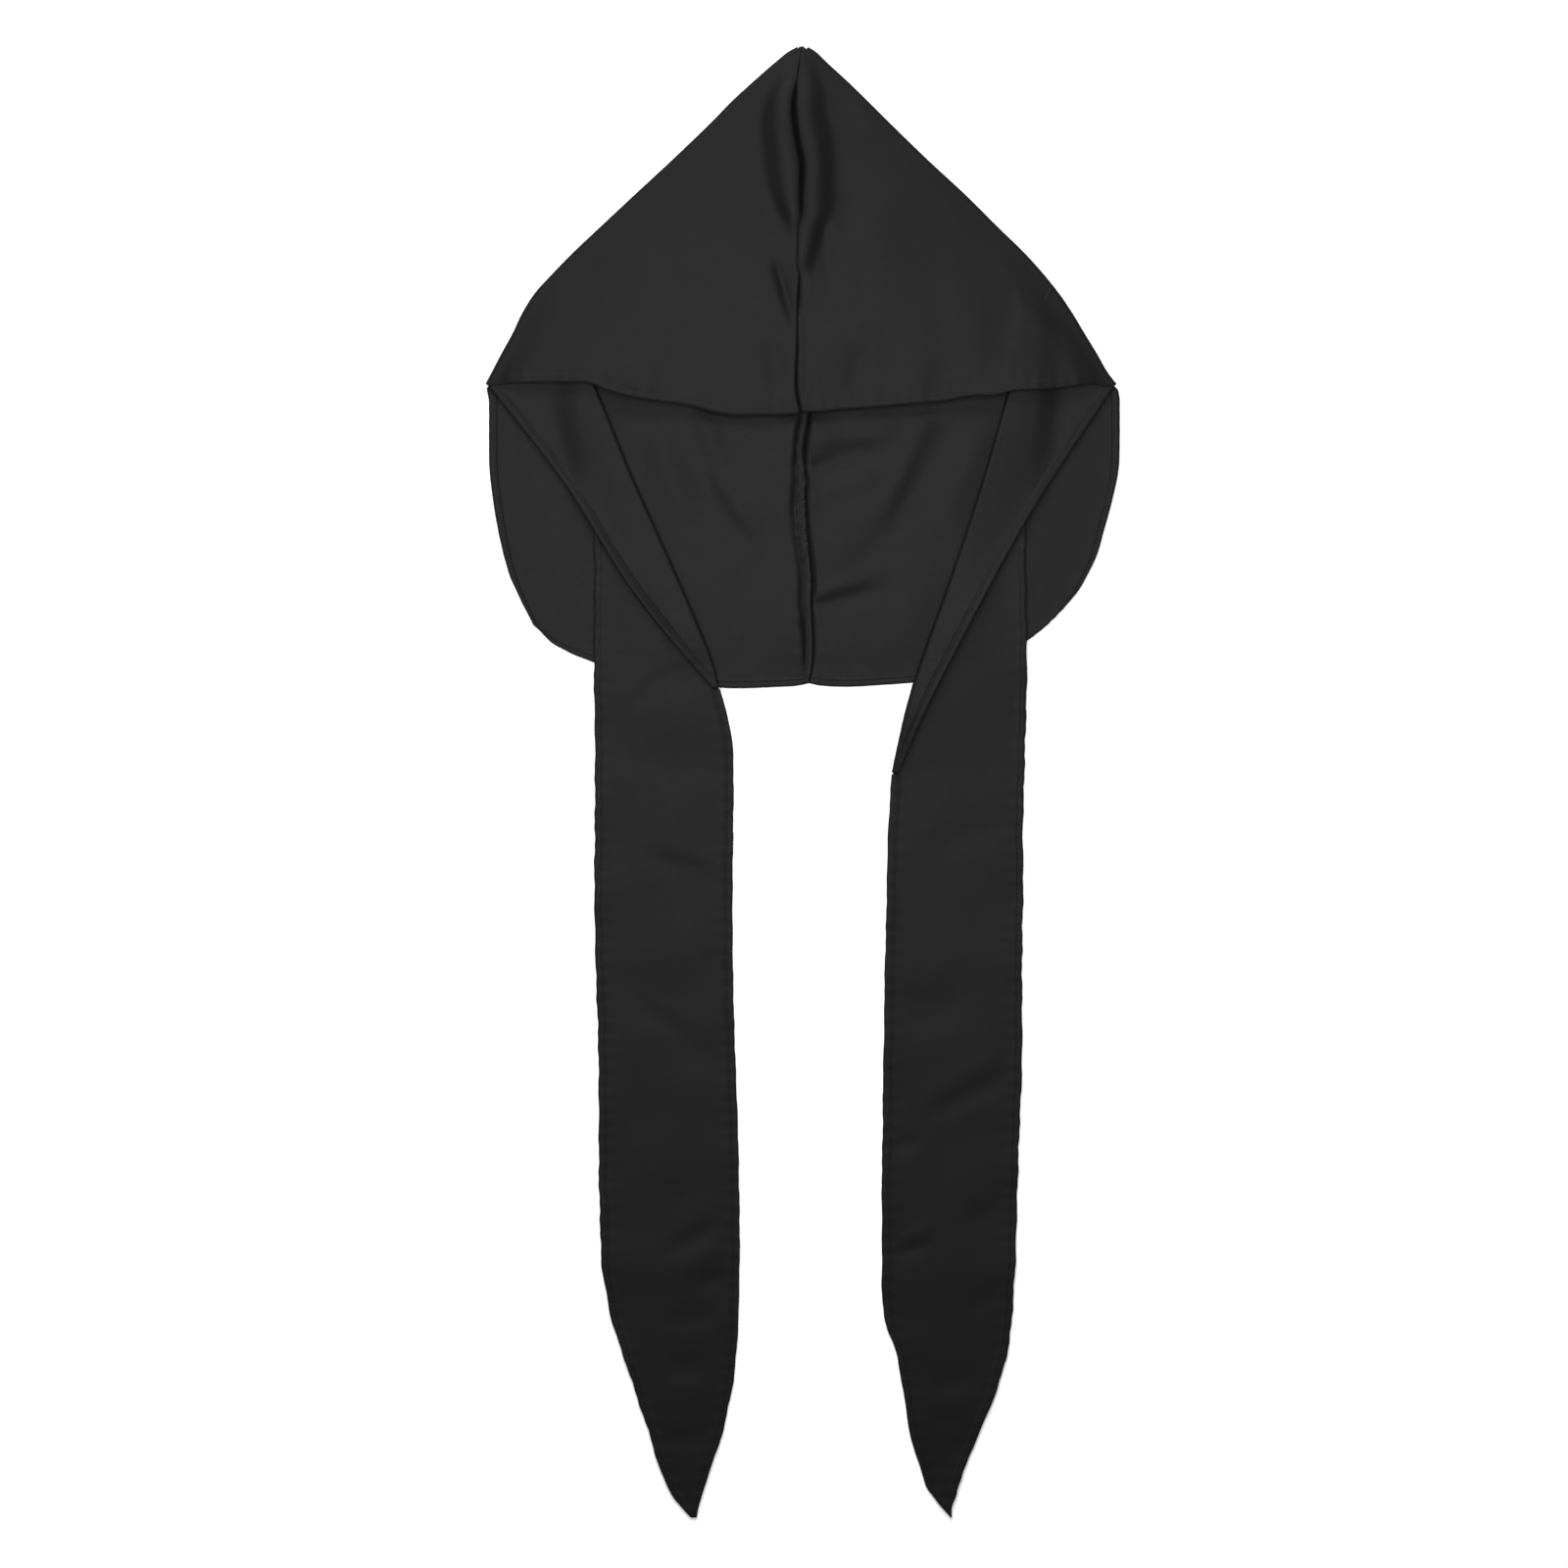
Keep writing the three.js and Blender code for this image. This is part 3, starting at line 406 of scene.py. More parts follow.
def stations(count, length, fine=HEM_STATIONS, start_too=False):
    """Shares from 0 to 1, closer at both ends, with extra ones at small distances from the far end, and
    from the near one too where that is asked for."""
    even = np.linspace(0, 1, count)
    shares = 0.5 * even + 0.25 * (1 - np.cos(np.pi * even))
    extra = [1 - distance / length for distance in fine]
    if start_too:
        extra += [distance / length for distance in fine]
    merged = np.unique(np.concatenate([shares, extra]))
    keep = np.concatenate([[True], np.diff(merged) > 0.12 / length])
    keep[-1] = True
    return merged[keep]


class Durag:
    """All surfaces of the laid durag, worked out from the sizes in the scene's properties."""

    def __init__(self, sizes):
        self.half_width = sizes.crown_half_width / MM
        self.height = sizes.crown_height / MM
        self.cape = sizes.cape_length / MM
        self.cloth = sizes.cloth / MM
        self.hem_width = sizes.hem_width / MM
        self.hem_rise = sizes.hem_rise / MM
        self.allowance = sizes.seam_allowance / MM
        self.loft = sizes.pocket_loft / MM
        self.tie_width = sizes.tie_width / MM
        self.hang = sizes.tie_hang / MM
        self.tip = sizes.tie_tip / MM
        self.clearance = 0.25
        self.pocket_reach = 70.0
        self.edge_step = 7.0
        self.drape = 15.0
        self.cape_ramp = 45.0
        self.step = self.cloth + self.clearance
        self.cape_step = self.step + self.hem_rise
        self.fold_radius = (self.step + self.cape_step) / 2
        self.fold_inset = self.fold_radius + self.cloth / 2
        self.hem_middle = FRONT_HEM["left"][0] * self.height
        self.folds = {
            name: Path(np.stack([
                side * CROWN_OUTLINE[name] * self.half_width, CROWN_OUTLINE["up"] * self.height,
            ], -1))
            for name, side in SIDES.items()
        }

    def outward(self, name, along):
        """Level direction out of the side fold."""
        run = self.folds[name].direction(along)
        return SIDES[name] * np.stack([-run[..., 1], run[..., 0]], -1)

    def fold_start(self, name, along):
        """Where front and back turn into the side fold: the outline moved in by the fold's reach."""
        return self.folds[name].at(along) - self.fold_inset * self.outward(name, along)

    def front_seam(self, y):
        """Side of the centre seam's line in the front layer."""
        return read(FRONT_SEAM, "side", y / self.height) * self.half_width

    def lap(self, y):
        """1 just below the slit, where the right layer laps over the left one, and 0 elsewhere."""
        return smooth((y / self.height - 0.35) / 0.05) * smooth((0.54 - y / self.height) / 0.05)

    def front_edge(self, name):
        """Line of a front layer's inner edge: the seam's, less the lap on the right."""
        reach = LAP_REACH if name == "right" else 0.0
        return lambda y: self.front_seam(y) - reach * self.lap(y)

    def back_seam(self, y):
        """Side of the centre seam's line in the back and the cape."""
        return read(BACK_SEAM, "side", -y / self.cape) * self.half_width

    def allowance_spread(self, y):
        """Width of the seam's allowance on the cape; the table holds it for an allowance of 6.5 mm."""
        return read(BACK_SEAM, "spread", -y / self.cape) * self.allowance / 6.5

    def row_height(self, along):
        """Where a crown row starts at the seam, from the peak (0) to the front hem's middle (1)."""
        return mix(self.height - self.fold_inset, self.hem_middle, along)

    def crown_point(self, name, along, across, seam):
        """Straight rows from the centre seam to the side fold, bent by the fourth power of along towards
        the front hem's line, and raised to a rounded peak."""
        y = self.row_height(along)
        start = np.stack([seam(y) + SIDES[name] * SEAM_GAP, y], -1)
        end = self.fold_start(name, along)
        spot = mix(start, end, across[..., None])
        straight = mix(self.row_height(1.0), self.fold_start(name, 1.0)[1], across)
        hem = read(FRONT_HEM, name, across) * self.height
        spot[..., 1] += (hem - straight) * along ** 4 * smooth((1 - across) * 12)
        spot[..., 1] += PEAK_RISE * smooth((1 - across) * 1.6) * np.exp(-along * self.height / PEAK_FADE)
        return spot

    def cape_edge(self, name, down):
        """Side edge of the cape from the front corner (0) to its lower corner (1)."""
        last = CAPE_OUTLINE["down"][-1]
        share = mix(CAPE_OUTLINE["down"][0], last, down)
        width = read(CAPE_OUTLINE, name, share) * self.half_width
        corner = self.fold_start(name, 1.0)
        edge = np.stack([SIDES[name] * width, mix(corner[1], -last * self.cape, down)], -1)
        return mix(corner, edge, smooth(np.asarray(down) / 0.02)[..., None])

    def cape_hem_point(self, name, across):
        """Lower edge of the cape from the seam (0) to its lower corner (1)."""
        corner = self.cape_edge(name, np.float64(1.0))
        start = self.back_seam(-self.cape) + SIDES[name] * SEAM_GAP
        y = -read(CAPE_HEM, name, across) * self.cape
        return np.stack([mix(start, corner[0], across), y], -1)

    def cape_point(self, name, down, across):
        """Patch blended between its four edges: rows plus columns less the corners' bilinear blend."""
        down, across = np.broadcast_arrays(down, across)
        one, zero = np.ones_like(down), np.zeros_like(down)
        top = self.crown_point(name, one, across, self.back_seam)
        bottom = self.cape_hem_point(name, across)
        hem_middle = self.cape_hem_point(name, np.float64(0.0))[1]
        seam_y = mix(self.row_height(1.0), hem_middle, down)
        seam = np.stack([self.back_seam(seam_y) + SIDES[name] * SEAM_GAP, seam_y], -1)
        rows = mix(top, bottom, down[..., None])
        columns = mix(seam, self.cape_edge(name, down), across[..., None])
        corners = (
            (self.crown_point(name, one, zero, self.back_seam), self.fold_start(name, one)),
            (self.cape_hem_point(name, zero), self.cape_edge(name, one)),
        )
        near, far = (mix(inner, outer, across[..., None]) for inner, outer in corners)
        return rows + columns - mix(near, far, down[..., None])

    def back_height(self, spot):
        """Middle of the lower cloth: level under the crown, and on the cape its folds and waves, never
        below the ground, with a shoulder beside the seam that rises steeply and falls off as exp(-beside
        / reach)."""
        relief = fold_relief(spot, CAPE_FOLDS, (self.half_width, -self.cape) * 2)
        middle = smooth((0.66 - np.abs(spot[..., 0]) / self.half_width) / 0.2)
        edge = smooth((spot[..., 1] + self.cape - 2) / 24)
        relief = relief + 0.2 + middle * edge * waves("back", spot)
        from_seam = spot[..., 0] - self.back_seam(spot[..., 1])
        beside = np.where(from_seam > 0, from_seam, -from_seam - self.allowance_spread(spot[..., 1]))
        down = -spot[..., 1] / self.cape
        left, right = (read(BACK_SEAM, name, down) for name in SIDES)
        shoulder = np.maximum(np.where(from_seam > 0, right, left), 0)
        ragged = 0.8 + 0.3 * np.sin(spot[..., 1] / 2.3) * np.sin(spot[..., 1] / 5.1 + 1)
        begin = np.where(from_seam > 0, mix(0.4, 0.0, smooth((down - 0.15) / 0.06)), 0.25)
        steep = smooth((beside - begin) / SHOULDER_STEP)
        shoulder = shoulder * ragged * steep * np.exp(-np.maximum(beside, 0) / SHOULDER_REACH)
        below = smooth((self.hem_middle + 5 - spot[..., 1]) / 14)
        return self.cloth / 2 + (np.maximum(relief, 0) * smooth(beside / 3) + shoulder) * below

    def cape_edge_height(self, name, x):
        """Where the cape's lower edge runs, as y for x."""
        corner = abs(self.cape_edge(name, np.float64(1.0))[0])
        return -read(CAPE_HEM, name, clamp(np.abs(x) / corner)) * self.cape

    def tie_middle(self, name):
        """Side of a tie's middle line."""
        return SIDES[name] * TIE_PLACES[name]["centre"] * self.half_width

    def tie_edge(self, name, edge, y):
        """Outer or inner edge of a tie's straight run, with its wander."""
        half = self.tie_width / 2 if edge == "outer" else -self.tie_width / 2
        wander = read(TIE_EDGES, f"{name}_{edge}", clamp(-y / self.hang))
        return self.tie_middle(name) + SIDES[name] * (half + wander)

    def tie_relief(self, name, spot):
        """Wrinkles of the straight run, summed: each rise * exp(-(distance / spread)^2) across a slanted
        line, faded over the first and last third of its width."""
        side = SIDES[name]
        relief = np.zeros(spot.shape[:-1])
        rows = TIE_WRINKLES[name]
        across = side * (self.tie_middle(name) - spot[..., 0]) / self.tie_width + 0.5
        for down, start, end, slant, rise, spread in zip(*rows.values()):
            share = (across - start) / (end - start)
            line = -down * self.hang + slant * (share - 0.5)
            bell = np.exp(-((spot[..., 1] - line) / spread) ** 2)
            relief += rise * bell * smooth(share * 3) * smooth((1 - share) * 3)
        return relief

    def tie_height(self, name, spot):
        """Straight run: on the ground, then up over the cape's hem and along the cape."""
        edge = self.cape_edge_height(name, spot[..., 0])
        over = smooth(1 + (spot[..., 1] - edge + 3) / self.cape_ramp)
        relief = self.tie_relief(name, spot)
        off_cape = smooth((-self.cape * 0.7 - spot[..., 1]) / 50)
        ground = self.cloth / 2 + np.maximum(relief + waves("tie", spot), 0) * off_cape
        cape = self.back_height(spot) + self.cape_step + np.maximum(relief + 0.4, 0)
        return mix(ground, cape, over)

    def crease(self, name):
        """Foot, run and inward direction of a tie's crease, a straight line from its inner edge up."""
        place, side = TIE_PLACES[name], SIDES[name]
        foot_y, head_y = -place["foot"] * self.cape, place["head"] * self.height
        head_x = float(self.tie_edge(name, "outer", head_y)) - side * 2 * self.fold_inset
        foot = np.array([float(self.tie_edge(name, "inner", foot_y)), foot_y])
        head = np.array([head_x, head_y])
        run = head - foot
        inward = side * np.array([-run[1], run[0]]) / np.linalg.norm(run)
        return foot, run, inward

    def roll_radius(self, along):
        """Radius of the crease's roll."""
        return read(CREASE_ROLL, "radius", along) * self.step

    def crease_point(self, name, along):
        """Points of the crease: its straight line, bowed inward by the table."""
        foot, run, inward = self.crease(name)
        bow = read(CREASE_BOW, name, clamp(along))
        return foot + np.asarray(along, float)[..., None] * run + bow[..., None] * inward

    def roll_start(self, name, along):
        """Where the roll starts: the crease moved out by the roll's reach."""
        reach = self.roll_radius(along) + self.cloth / 2
        return self.crease_point(name, along) - reach[..., None] * self.crease(name)[2]

    def from_crease(self, name, spot):
        """Share along the crease and distance out from the roll's start."""
        foot, run, inward = self.crease(name)
        along = ((spot - foot) @ run) / (run @ run)
        start = self.roll_start(name, clamp(along))
        return along, -((spot - start) @ inward)

    def diagonal_height(self, name, spot, slack=1.0):
        """Diagonal run: from the roll's top down onto the straight run, then down onto the cape. A slack
        above 1 gives the cloth that lies on it, which bridges its valley."""
        along, out = self.from_crease(name, spot)
        outer = self.tie_edge(name, "outer", spot[..., 1])
        beyond = SIDES[name] * (spot[..., 0] - outer) - self.cloth
        over_run = self.tie_height(name, spot) + self.step + ROOM
        over_cape = self.back_height(spot) + self.cape_step
        carried = mix(over_run, over_cape, smooth(beyond / self.drape))
        radius = self.roll_radius(clamp(along))
        grown = smooth(along / ROLL_GROWTH)
        level, reach = mix(*ROLL_LEVEL, grown), mix(*ROLL_REACH, grown) + 0.8 * radius
        risen = smooth((out - level) / (reach * slack - level))
        dip = DIP_DEPTH * np.exp(-((out - reach) / DIP_SPREAD) ** 2) * (slack == 1.0)
        roll = (2 * radius - self.step - ROOM) * (1 - risen)
        return carried + roll + RIDGE_RISE * risen - dip + self.free_lift(name, spot)

    def free_lift(self, name, spot):
        """Lift of the diagonal run beside its free edge, which stands a little off the straight run:
        lift * exp(-distance / reach), faded at both ends of the edge."""
        path = free_edge(self, name)
        rows = (path.y - path.y[0]) / (path.y[-1] - path.y[0])
        share = clamp((spot[..., 1] - path.y[0]) / (path.y[-1] - path.y[0]))
        near = np.abs(np.interp(share, rows, path.x) - spot[..., 0])
        ends = smooth(share / 0.22) * smooth((0.85 - share) / 0.5)
        return FREE_LIFT * np.exp(-near / FREE_REACH) * ends

    def above_tie(self, name, spot):
        """Height that the front layer keeps over a tie: a layer above the diagonal run, fading to the
        pocket's level inward of the crease and past its head."""
        along, out = self.from_crease(name, spot)
        radius = self.roll_radius(clamp(along))
        inside = smooth((-out - radius - 2) / (2 * self.edge_step))
        length = np.linalg.norm(self.crease(name)[1])
        past = smooth((along - 1) * length / (4 * self.edge_step) - 0.1)
        top = self.diagonal_height(name, spot, 2.2) + self.step + self.hem_rise + HEM_DROP
        return mix(top, self.cloth / 2 + 2 * self.fold_radius, np.maximum(inside, past))

    def pucker(self, name, spot):
        """Relief beside the centre seam, out from each layer's edge: a rounded lip, a soft valley at 2.8
        times the lip's distance that is wider outward, a groove that widens where the layers are parted,
        the right layer lapped over the left one below the slit, and the allowance's edge pressed through
        below that."""
        up = spot[..., 1] / self.height
        rise = read(FRONT_SEAM, "rise", up) * self.loft
        lip = read(FRONT_SEAM, name, up) * self.allowance
        out = np.abs(spot[..., 0] - self.front_edge(name)(spot[..., 1]))
        crest = np.exp(-np.abs((out - lip) / (LIP_WIDTH * lip)) ** 2.5)
        beyond = out - VALLEY_PLACE * lip
        valley = np.exp(-(beyond / (np.where(beyond > 0, VALLEY_OUTER, VALLEY_INNER) * lip)) ** 2)
        parted = read(FRONT_SEAM, "parted", up)
        lap = self.lap(spot[..., 1])
        notch = np.exp(-np.abs(out / mix(*GROOVE_WIDTH, parted)) ** 3)
        groove = mix(*GROOVE_DEPTH, parted) * (1 - lap) * notch
        below = smooth((0.36 - up) / 0.04) * (name == "right")
        pressed = PRESSED_RISE * np.exp(-((out - PRESSED_PLACE) / PRESSED_SPREAD) ** 2) * below
        lapped = SIDES[name] * LAP_RISE * lap * np.exp(-(out / LAP_SPREAD) ** 2)
        ending = smooth((up - (0.34 if name == "right" else 0.47)) / 0.08)
        lips = rise * mix(0.2, 1.0, ending) * (crest - VALLEY_DEPTH * valley * ending)
        return lips - groove + pressed + lapped

    def front_height(self, name, along, spot):
        """Front layer: lofted over the pocket by a quarter sine of the distance from the side fold, with
        its folds and waves, raised over the ties near its corners, and its hem's stand faded away from
        the hem."""
        inset = np.abs(np.sum((self.fold_start(name, along) - spot) * self.outward(name, along), -1))
        loft = self.loft * np.sin(np.pi / 2 * clamp(inset / self.pocket_reach))
        relief = fold_relief(spot, FRONT_FOLDS, (self.half_width, self.height) * 2) + waves("front", spot)
        out = clamp(np.abs(spot[..., 0]) / self.half_width)
        from_hem = (1 - np.broadcast_to(along, out.shape)) * (self.height - self.hem_middle)
        stand = read(HEM_STAND, name, out)
        stand = stand * np.exp(-(from_hem / np.where(stand > 0, 10.0, 45.0)) ** 1.5)
        pocket = self.cloth / 2 + 2 * self.fold_radius + loft
        pocket += (relief + self.pucker(name, spot)) * smooth(inset / 12)
        drop = (self.hem_rise + HEM_DROP) * (1 - smooth(inset / self.edge_step))
        raised = soft_max(pocket, self.above_tie(name, spot) - drop, 1.2) + stand
        return mix(pocket, raised, smooth(inset / (2.2 * self.edge_step)))


def half_turn(start, direction, lower, upper, steps):
    """Half circle in the upright plane of direction, from the upper layer's end to the lower layer's."""
    radius = (upper - lower) / 2
    angle = np.pi * (0.5 - np.arange(1, steps) / steps)
    level = start[:, None] + direction[:, None] * (radius[:, None] * np.cos(angle))[..., None]
    height = (lower + radius)[:, None] + radius[:, None] * np.sin(angle)
    return np.concatenate([level, height[..., None]], -1)


def grid_faces(indices):
    """Quads between the neighbours of a grid of vertex numbers."""
    corners = (indices[:-1, :-1], indices[:-1, 1:], indices[1:, 1:], indices[1:, :-1])
    return np.stack([corner.ravel() for corner in corners], -1)


def joined(name, first, second, line, axis):
    """Points and quads of two grids of points. A line of the first one's points leads the second."""
    index = np.arange(first[..., 0].size).reshape(first.shape[:2])
    more = index.size + np.arange(second[..., 0].size).reshape(second.shape[:2])
    grids = [index, np.concatenate([index[line], more], axis)]
    if name == "right":
        grids = [grid[:, ::-1] for grid in grids]
    points = np.concatenate([first.reshape(-1, 3), second.reshape(-1, 3)])
    return points, np.concatenate([grid_faces(grid) for grid in grids])


def vertex_normals(points, quads):
    """Sum of the neighbouring quads' normals, made unit length."""
    across = points[quads[:, 2]] - points[quads[:, 0]]
    along = points[quads[:, 3]] - points[quads[:, 1]]
    normals = np.zeros_like(points)
    for corner in range(4):
        np.add.at(normals, quads[:, corner], np.cross(across, along))
    return normals / np.maximum(np.linalg.norm(normals, axis=1, keepdims=True), 1e-12)


def rim_edges(quads):
    """Edges that only one quad has, in that quad's direction."""
    edges = np.concatenate([quads[:, [i, (i + 1) % 4]] for i in range(4)])
    _, inverse, counts = np.unique(np.sort(edges, 1), axis=0, return_inverse=True, return_counts=True)
    return edges[counts[inverse.ravel()] == 1]


def cloth_piece(name, points, quads, outer, inner, flat, material):
    """Closed cloth: the middle surface moved out and in along its normals, with walls along its rim."""
    count = len(points)
    normals = vertex_normals(points, quads)
    shell = np.concatenate([points + normals * outer[:, None], points - normals * inner[:, None]])
    rim = rim_edges(quads)
    walls = np.stack([rim[:, 1], rim[:, 0], rim[:, 0] + count, rim[:, 1] + count], -1)
    faces = np.concatenate([quads, quads[:, ::-1] + count, walls])
    return new_piece(name, shell * MM, faces, np.concatenate([flat, flat]) * MM, material)


def strip_piece(name, points, outer, inner, material, turned=False):
    """Closed cloth from one grid of points, with its faces turned over where the grid runs the other
    way."""
    quads = grid_faces(np.arange(points[..., 0].size).reshape(points.shape[:2]))
    spread = points.reshape(-1, 3)
    thick = [np.broadcast_to(side, points.shape[:2]).ravel() for side in (outer, inner)]
    return cloth_piece(name, spread, quads[:, ::-1] if turned else quads, *thick, spread[:, :2], material)


def new_piece(name, points, faces, flat, material):
    """Mesh object from arrays, with the cut cloth's own coordinates as its UV map."""
    mesh = bpy.data.meshes.new(name)
    mesh.vertices.add(len(points))
    mesh.vertices.foreach_set("co", np.asarray(points, np.float32).ravel())
    sides = faces.shape[1]
    mesh.loops.add(faces.size)
    mesh.loops.foreach_set("vertex_index", faces.astype(np.int32).ravel())
    mesh.polygons.add(len(faces))
    mesh.polygons.foreach_set("loop_start", np.arange(0, faces.size, sides, dtype=np.int32))
    mesh.polygons.foreach_set("loop_total", np.full(len(faces), sides, np.int32))
    mesh.update(calc_edges=True)
    layer = mesh.uv_layers.new(name="cloth")
    layer.data.foreach_set("uv", np.asarray(flat[faces.ravel()], np.float32).ravel())
    mesh.polygons.foreach_set("use_smooth", np.ones(len(faces), bool))
    mesh.materials.append(material)
    mesh.validate()
    piece = bpy.data.objects.new(name, mesh)
    bpy.context.scene.collection.objects.link(piece)
    return piece


def edge_round(distance, reach=EDGE_ROUND):
    """Share of the cloth's thickness near an edge: a quarter ellipse over the last part of its width."""
    return np.sqrt(np.maximum(1 - (1 - clamp(distance / reach)) ** 2, THINNEST))


def stitch_line(distance, width):
    """Bell at a hem's stitch line: exp(-((distance - width + inset) / sink)^2)."""
    return np.exp(-((distance - width + STITCH_INSET) / STITCH_SINK) ** 2)


def hem_profile(distance, width):
    """1 on the turned hem, 0 inside it, with a sunk line where it is stitched down."""
    ply = smooth((width + 0.3 - distance) / 0.6)
    return ply - 0.45 * stitch_line(distance, width)


def hem_wave(run, distance, seed=0.0):
    """Pucker of a stitched edge, never below 0: a wave along it that a slow one shifts, and a quick one,
    times exp(-((distance - place) / spread)^2) across it."""
    length, slow, quick = PUCKER_WAVES
    wave = np.sin(2 * np.pi * run / length + 1.4 * np.sin(run / slow + seed))
    wave = wave + 0.6 * np.sin(run / quick + seed)
    return PUCKER_RISE * (1.6 + wave) * np.exp(-((distance - PUCKER_PLACE) / PUCKER_SPREAD) ** 2)


def lift(spot, height):
    """Points of a plan with their heights."""
    return np.concatenate([spot, height[..., None]], -1)


def build_panel(shape, name, material):
    """Crown panel and its half of the cape, one cloth from the front hem round to the cape's lower edge:
    the front's rows, a half turn at the side fold, the back's rows, and the cape's patch below them. Each
    hem is thicker by its turned ply, and every open edge thins out."""
    half = shape.cloth / 2
    across = stations(PANEL_COLUMNS, shape.half_width, start_too=True)
    along = mix(0.002, 1.0, stations(CROWN_ROWS, shape.height))
    rows, columns = np.meshgrid(along, across, indexing="ij")
    front = shape.crown_point(name, rows, columns, shape.front_edge(name))
    front_z = shape.front_height(name, rows, front)
    from_hem = (1 - rows) * (shape.height - shape.hem_middle)
    from_side = (1 - columns) * shape.half_width
    front_z = front_z + hem_wave(front[..., 0], from_hem) * smooth(from_side / 10)
    back = shape.crown_point(name, rows, columns, shape.back_seam)
    back_z = shape.back_height(back)
    turn = half_turn(
        shape.fold_start(name, along), shape.outward(name, along),
        np.full(len(along), half), front_z[:, -1], TURN_STEPS,
    )
    crown = np.concatenate([lift(front, front_z), turn, lift(back, back_z)[:, ::-1]], 1)
    cape_rows, cape_columns = np.meshgrid(stations(CAPE_ROWS, shape.cape)[1:], across, indexing="ij")
    cape = shape.cape_point(name, cape_rows, cape_columns)
    from_low = (1 - cape_rows) * shape.cape
    from_edge = np.minimum((1 - cape_columns) * shape.half_width, from_low)
    shown = smooth(cape_rows / 0.04)
    cape_z = shape.back_height(cape) + hem_wave(cape[..., 0] + cape[..., 1], from_edge, 2.0) * shown
    cape = lift(cape, cape_z)[:, ::-1]
    rim = edge_round(from_hem, HEM_ROUND) * edge_round(columns * shape.half_width, SEAM_ROUND)
    turned = hem_profile(from_hem, shape.hem_width) * edge_round(from_hem, HEM_ROUND)
    outer_front = half * rim + 0.4 * shape.hem_rise * turned
    inner_front = half * rim + 0.6 * shape.hem_rise * smooth((shape.hem_width - from_hem) / 0.6)
    plain = half * edge_round(columns * shape.half_width, SEAM_ROUND)
    bend = np.full(turn.shape[:2], half)
    outer_crown = np.concatenate([outer_front, bend, plain[:, ::-1]], 1)
    inner_crown = np.concatenate([inner_front, bend, plain[:, ::-1]], 1)
    cape_rim = half * edge_round(from_edge) * edge_round(cape_columns * shape.half_width, SEAM_ROUND)
    cape_hem = cape_rim + shape.hem_rise * hem_profile(from_edge, shape.hem_width) * shown
    points, quads = joined(name, crown, cape, np.s_[-1:, -len(across):], 0)
    outer = np.concatenate([outer_crown.ravel(), cape_rim[:, ::-1].ravel()])
    inner = np.concatenate([inner_crown.ravel(), cape_hem[:, ::-1].ravel()])
    return cloth_piece(f"cloth_panel_{name}", points, quads, outer, inner, points[:, :2], material)


def tie_outline(shape, name, y):
    """Outer and inner edges of a tie for each y: its straight edges, drawn in towards the point by the
    table, with two small sine waves, and never closer than 4 mm except at the very end."""
    side = SIDES[name]
    tip_start = -shape.hang + shape.tip
    along = clamp((tip_start - y) / shape.tip)
    edges = {}
    for edge in ("outer", "inner"):
        column = f"{name}_{edge}"
        straight = shape.tie_edge(name, edge, np.maximum(y, tip_start))
        shift = side * (read(TIE_TIP, column, along) - TIE_TIP[column][0]) * shape.tie_width
        wave = SLOW_WAVE[0] * np.sin(2 * np.pi * y / SLOW_WAVE[1] + side)
        wave += QUICK_WAVE[0] * np.sin(2 * np.pi * y / QUICK_WAVE[1]) * np.sin(y / QUICK_SWELL + side)
        wave *= smooth((y + shape.hang) / 12) * (0.6 if edge == "inner" else 1)
        edges[edge] = straight + shift + wave
    closing = smooth(along * 6 - 5)
    middle = (edges["outer"] + edges["inner"]) / 2
    width = np.maximum(np.abs(edges["outer"] - edges["inner"]), mix(*TIE_END, closing))
    return middle + side * width / 2, middle - side * width / 2


def free_edge(shape, name):
    """Plan curve of the diagonal run's free edge, from beside the crease's foot to the front corner: a
    straight line moved towards the crease by the table's bow."""
    foot = shape.roll_start(name, np.float64(0.0)) - 2.5 * shape.crease(name)[2]
    corner = shape.fold_start(name, np.float64(1.0))
    run = (corner - foot) / np.linalg.norm(corner - foot)
    towards = SIDES[name] * shape.tie_width * np.array([-run[1], run[0]])
    bowed = [
        mix(corner, foot, along) + bow * towards
        for along, bow in zip(DIAGONAL_BOW["along"], DIAGONAL_BOW[name])
    ]
    points = np.array([foot, *bowed[::-1], corner])
    return Path(points)


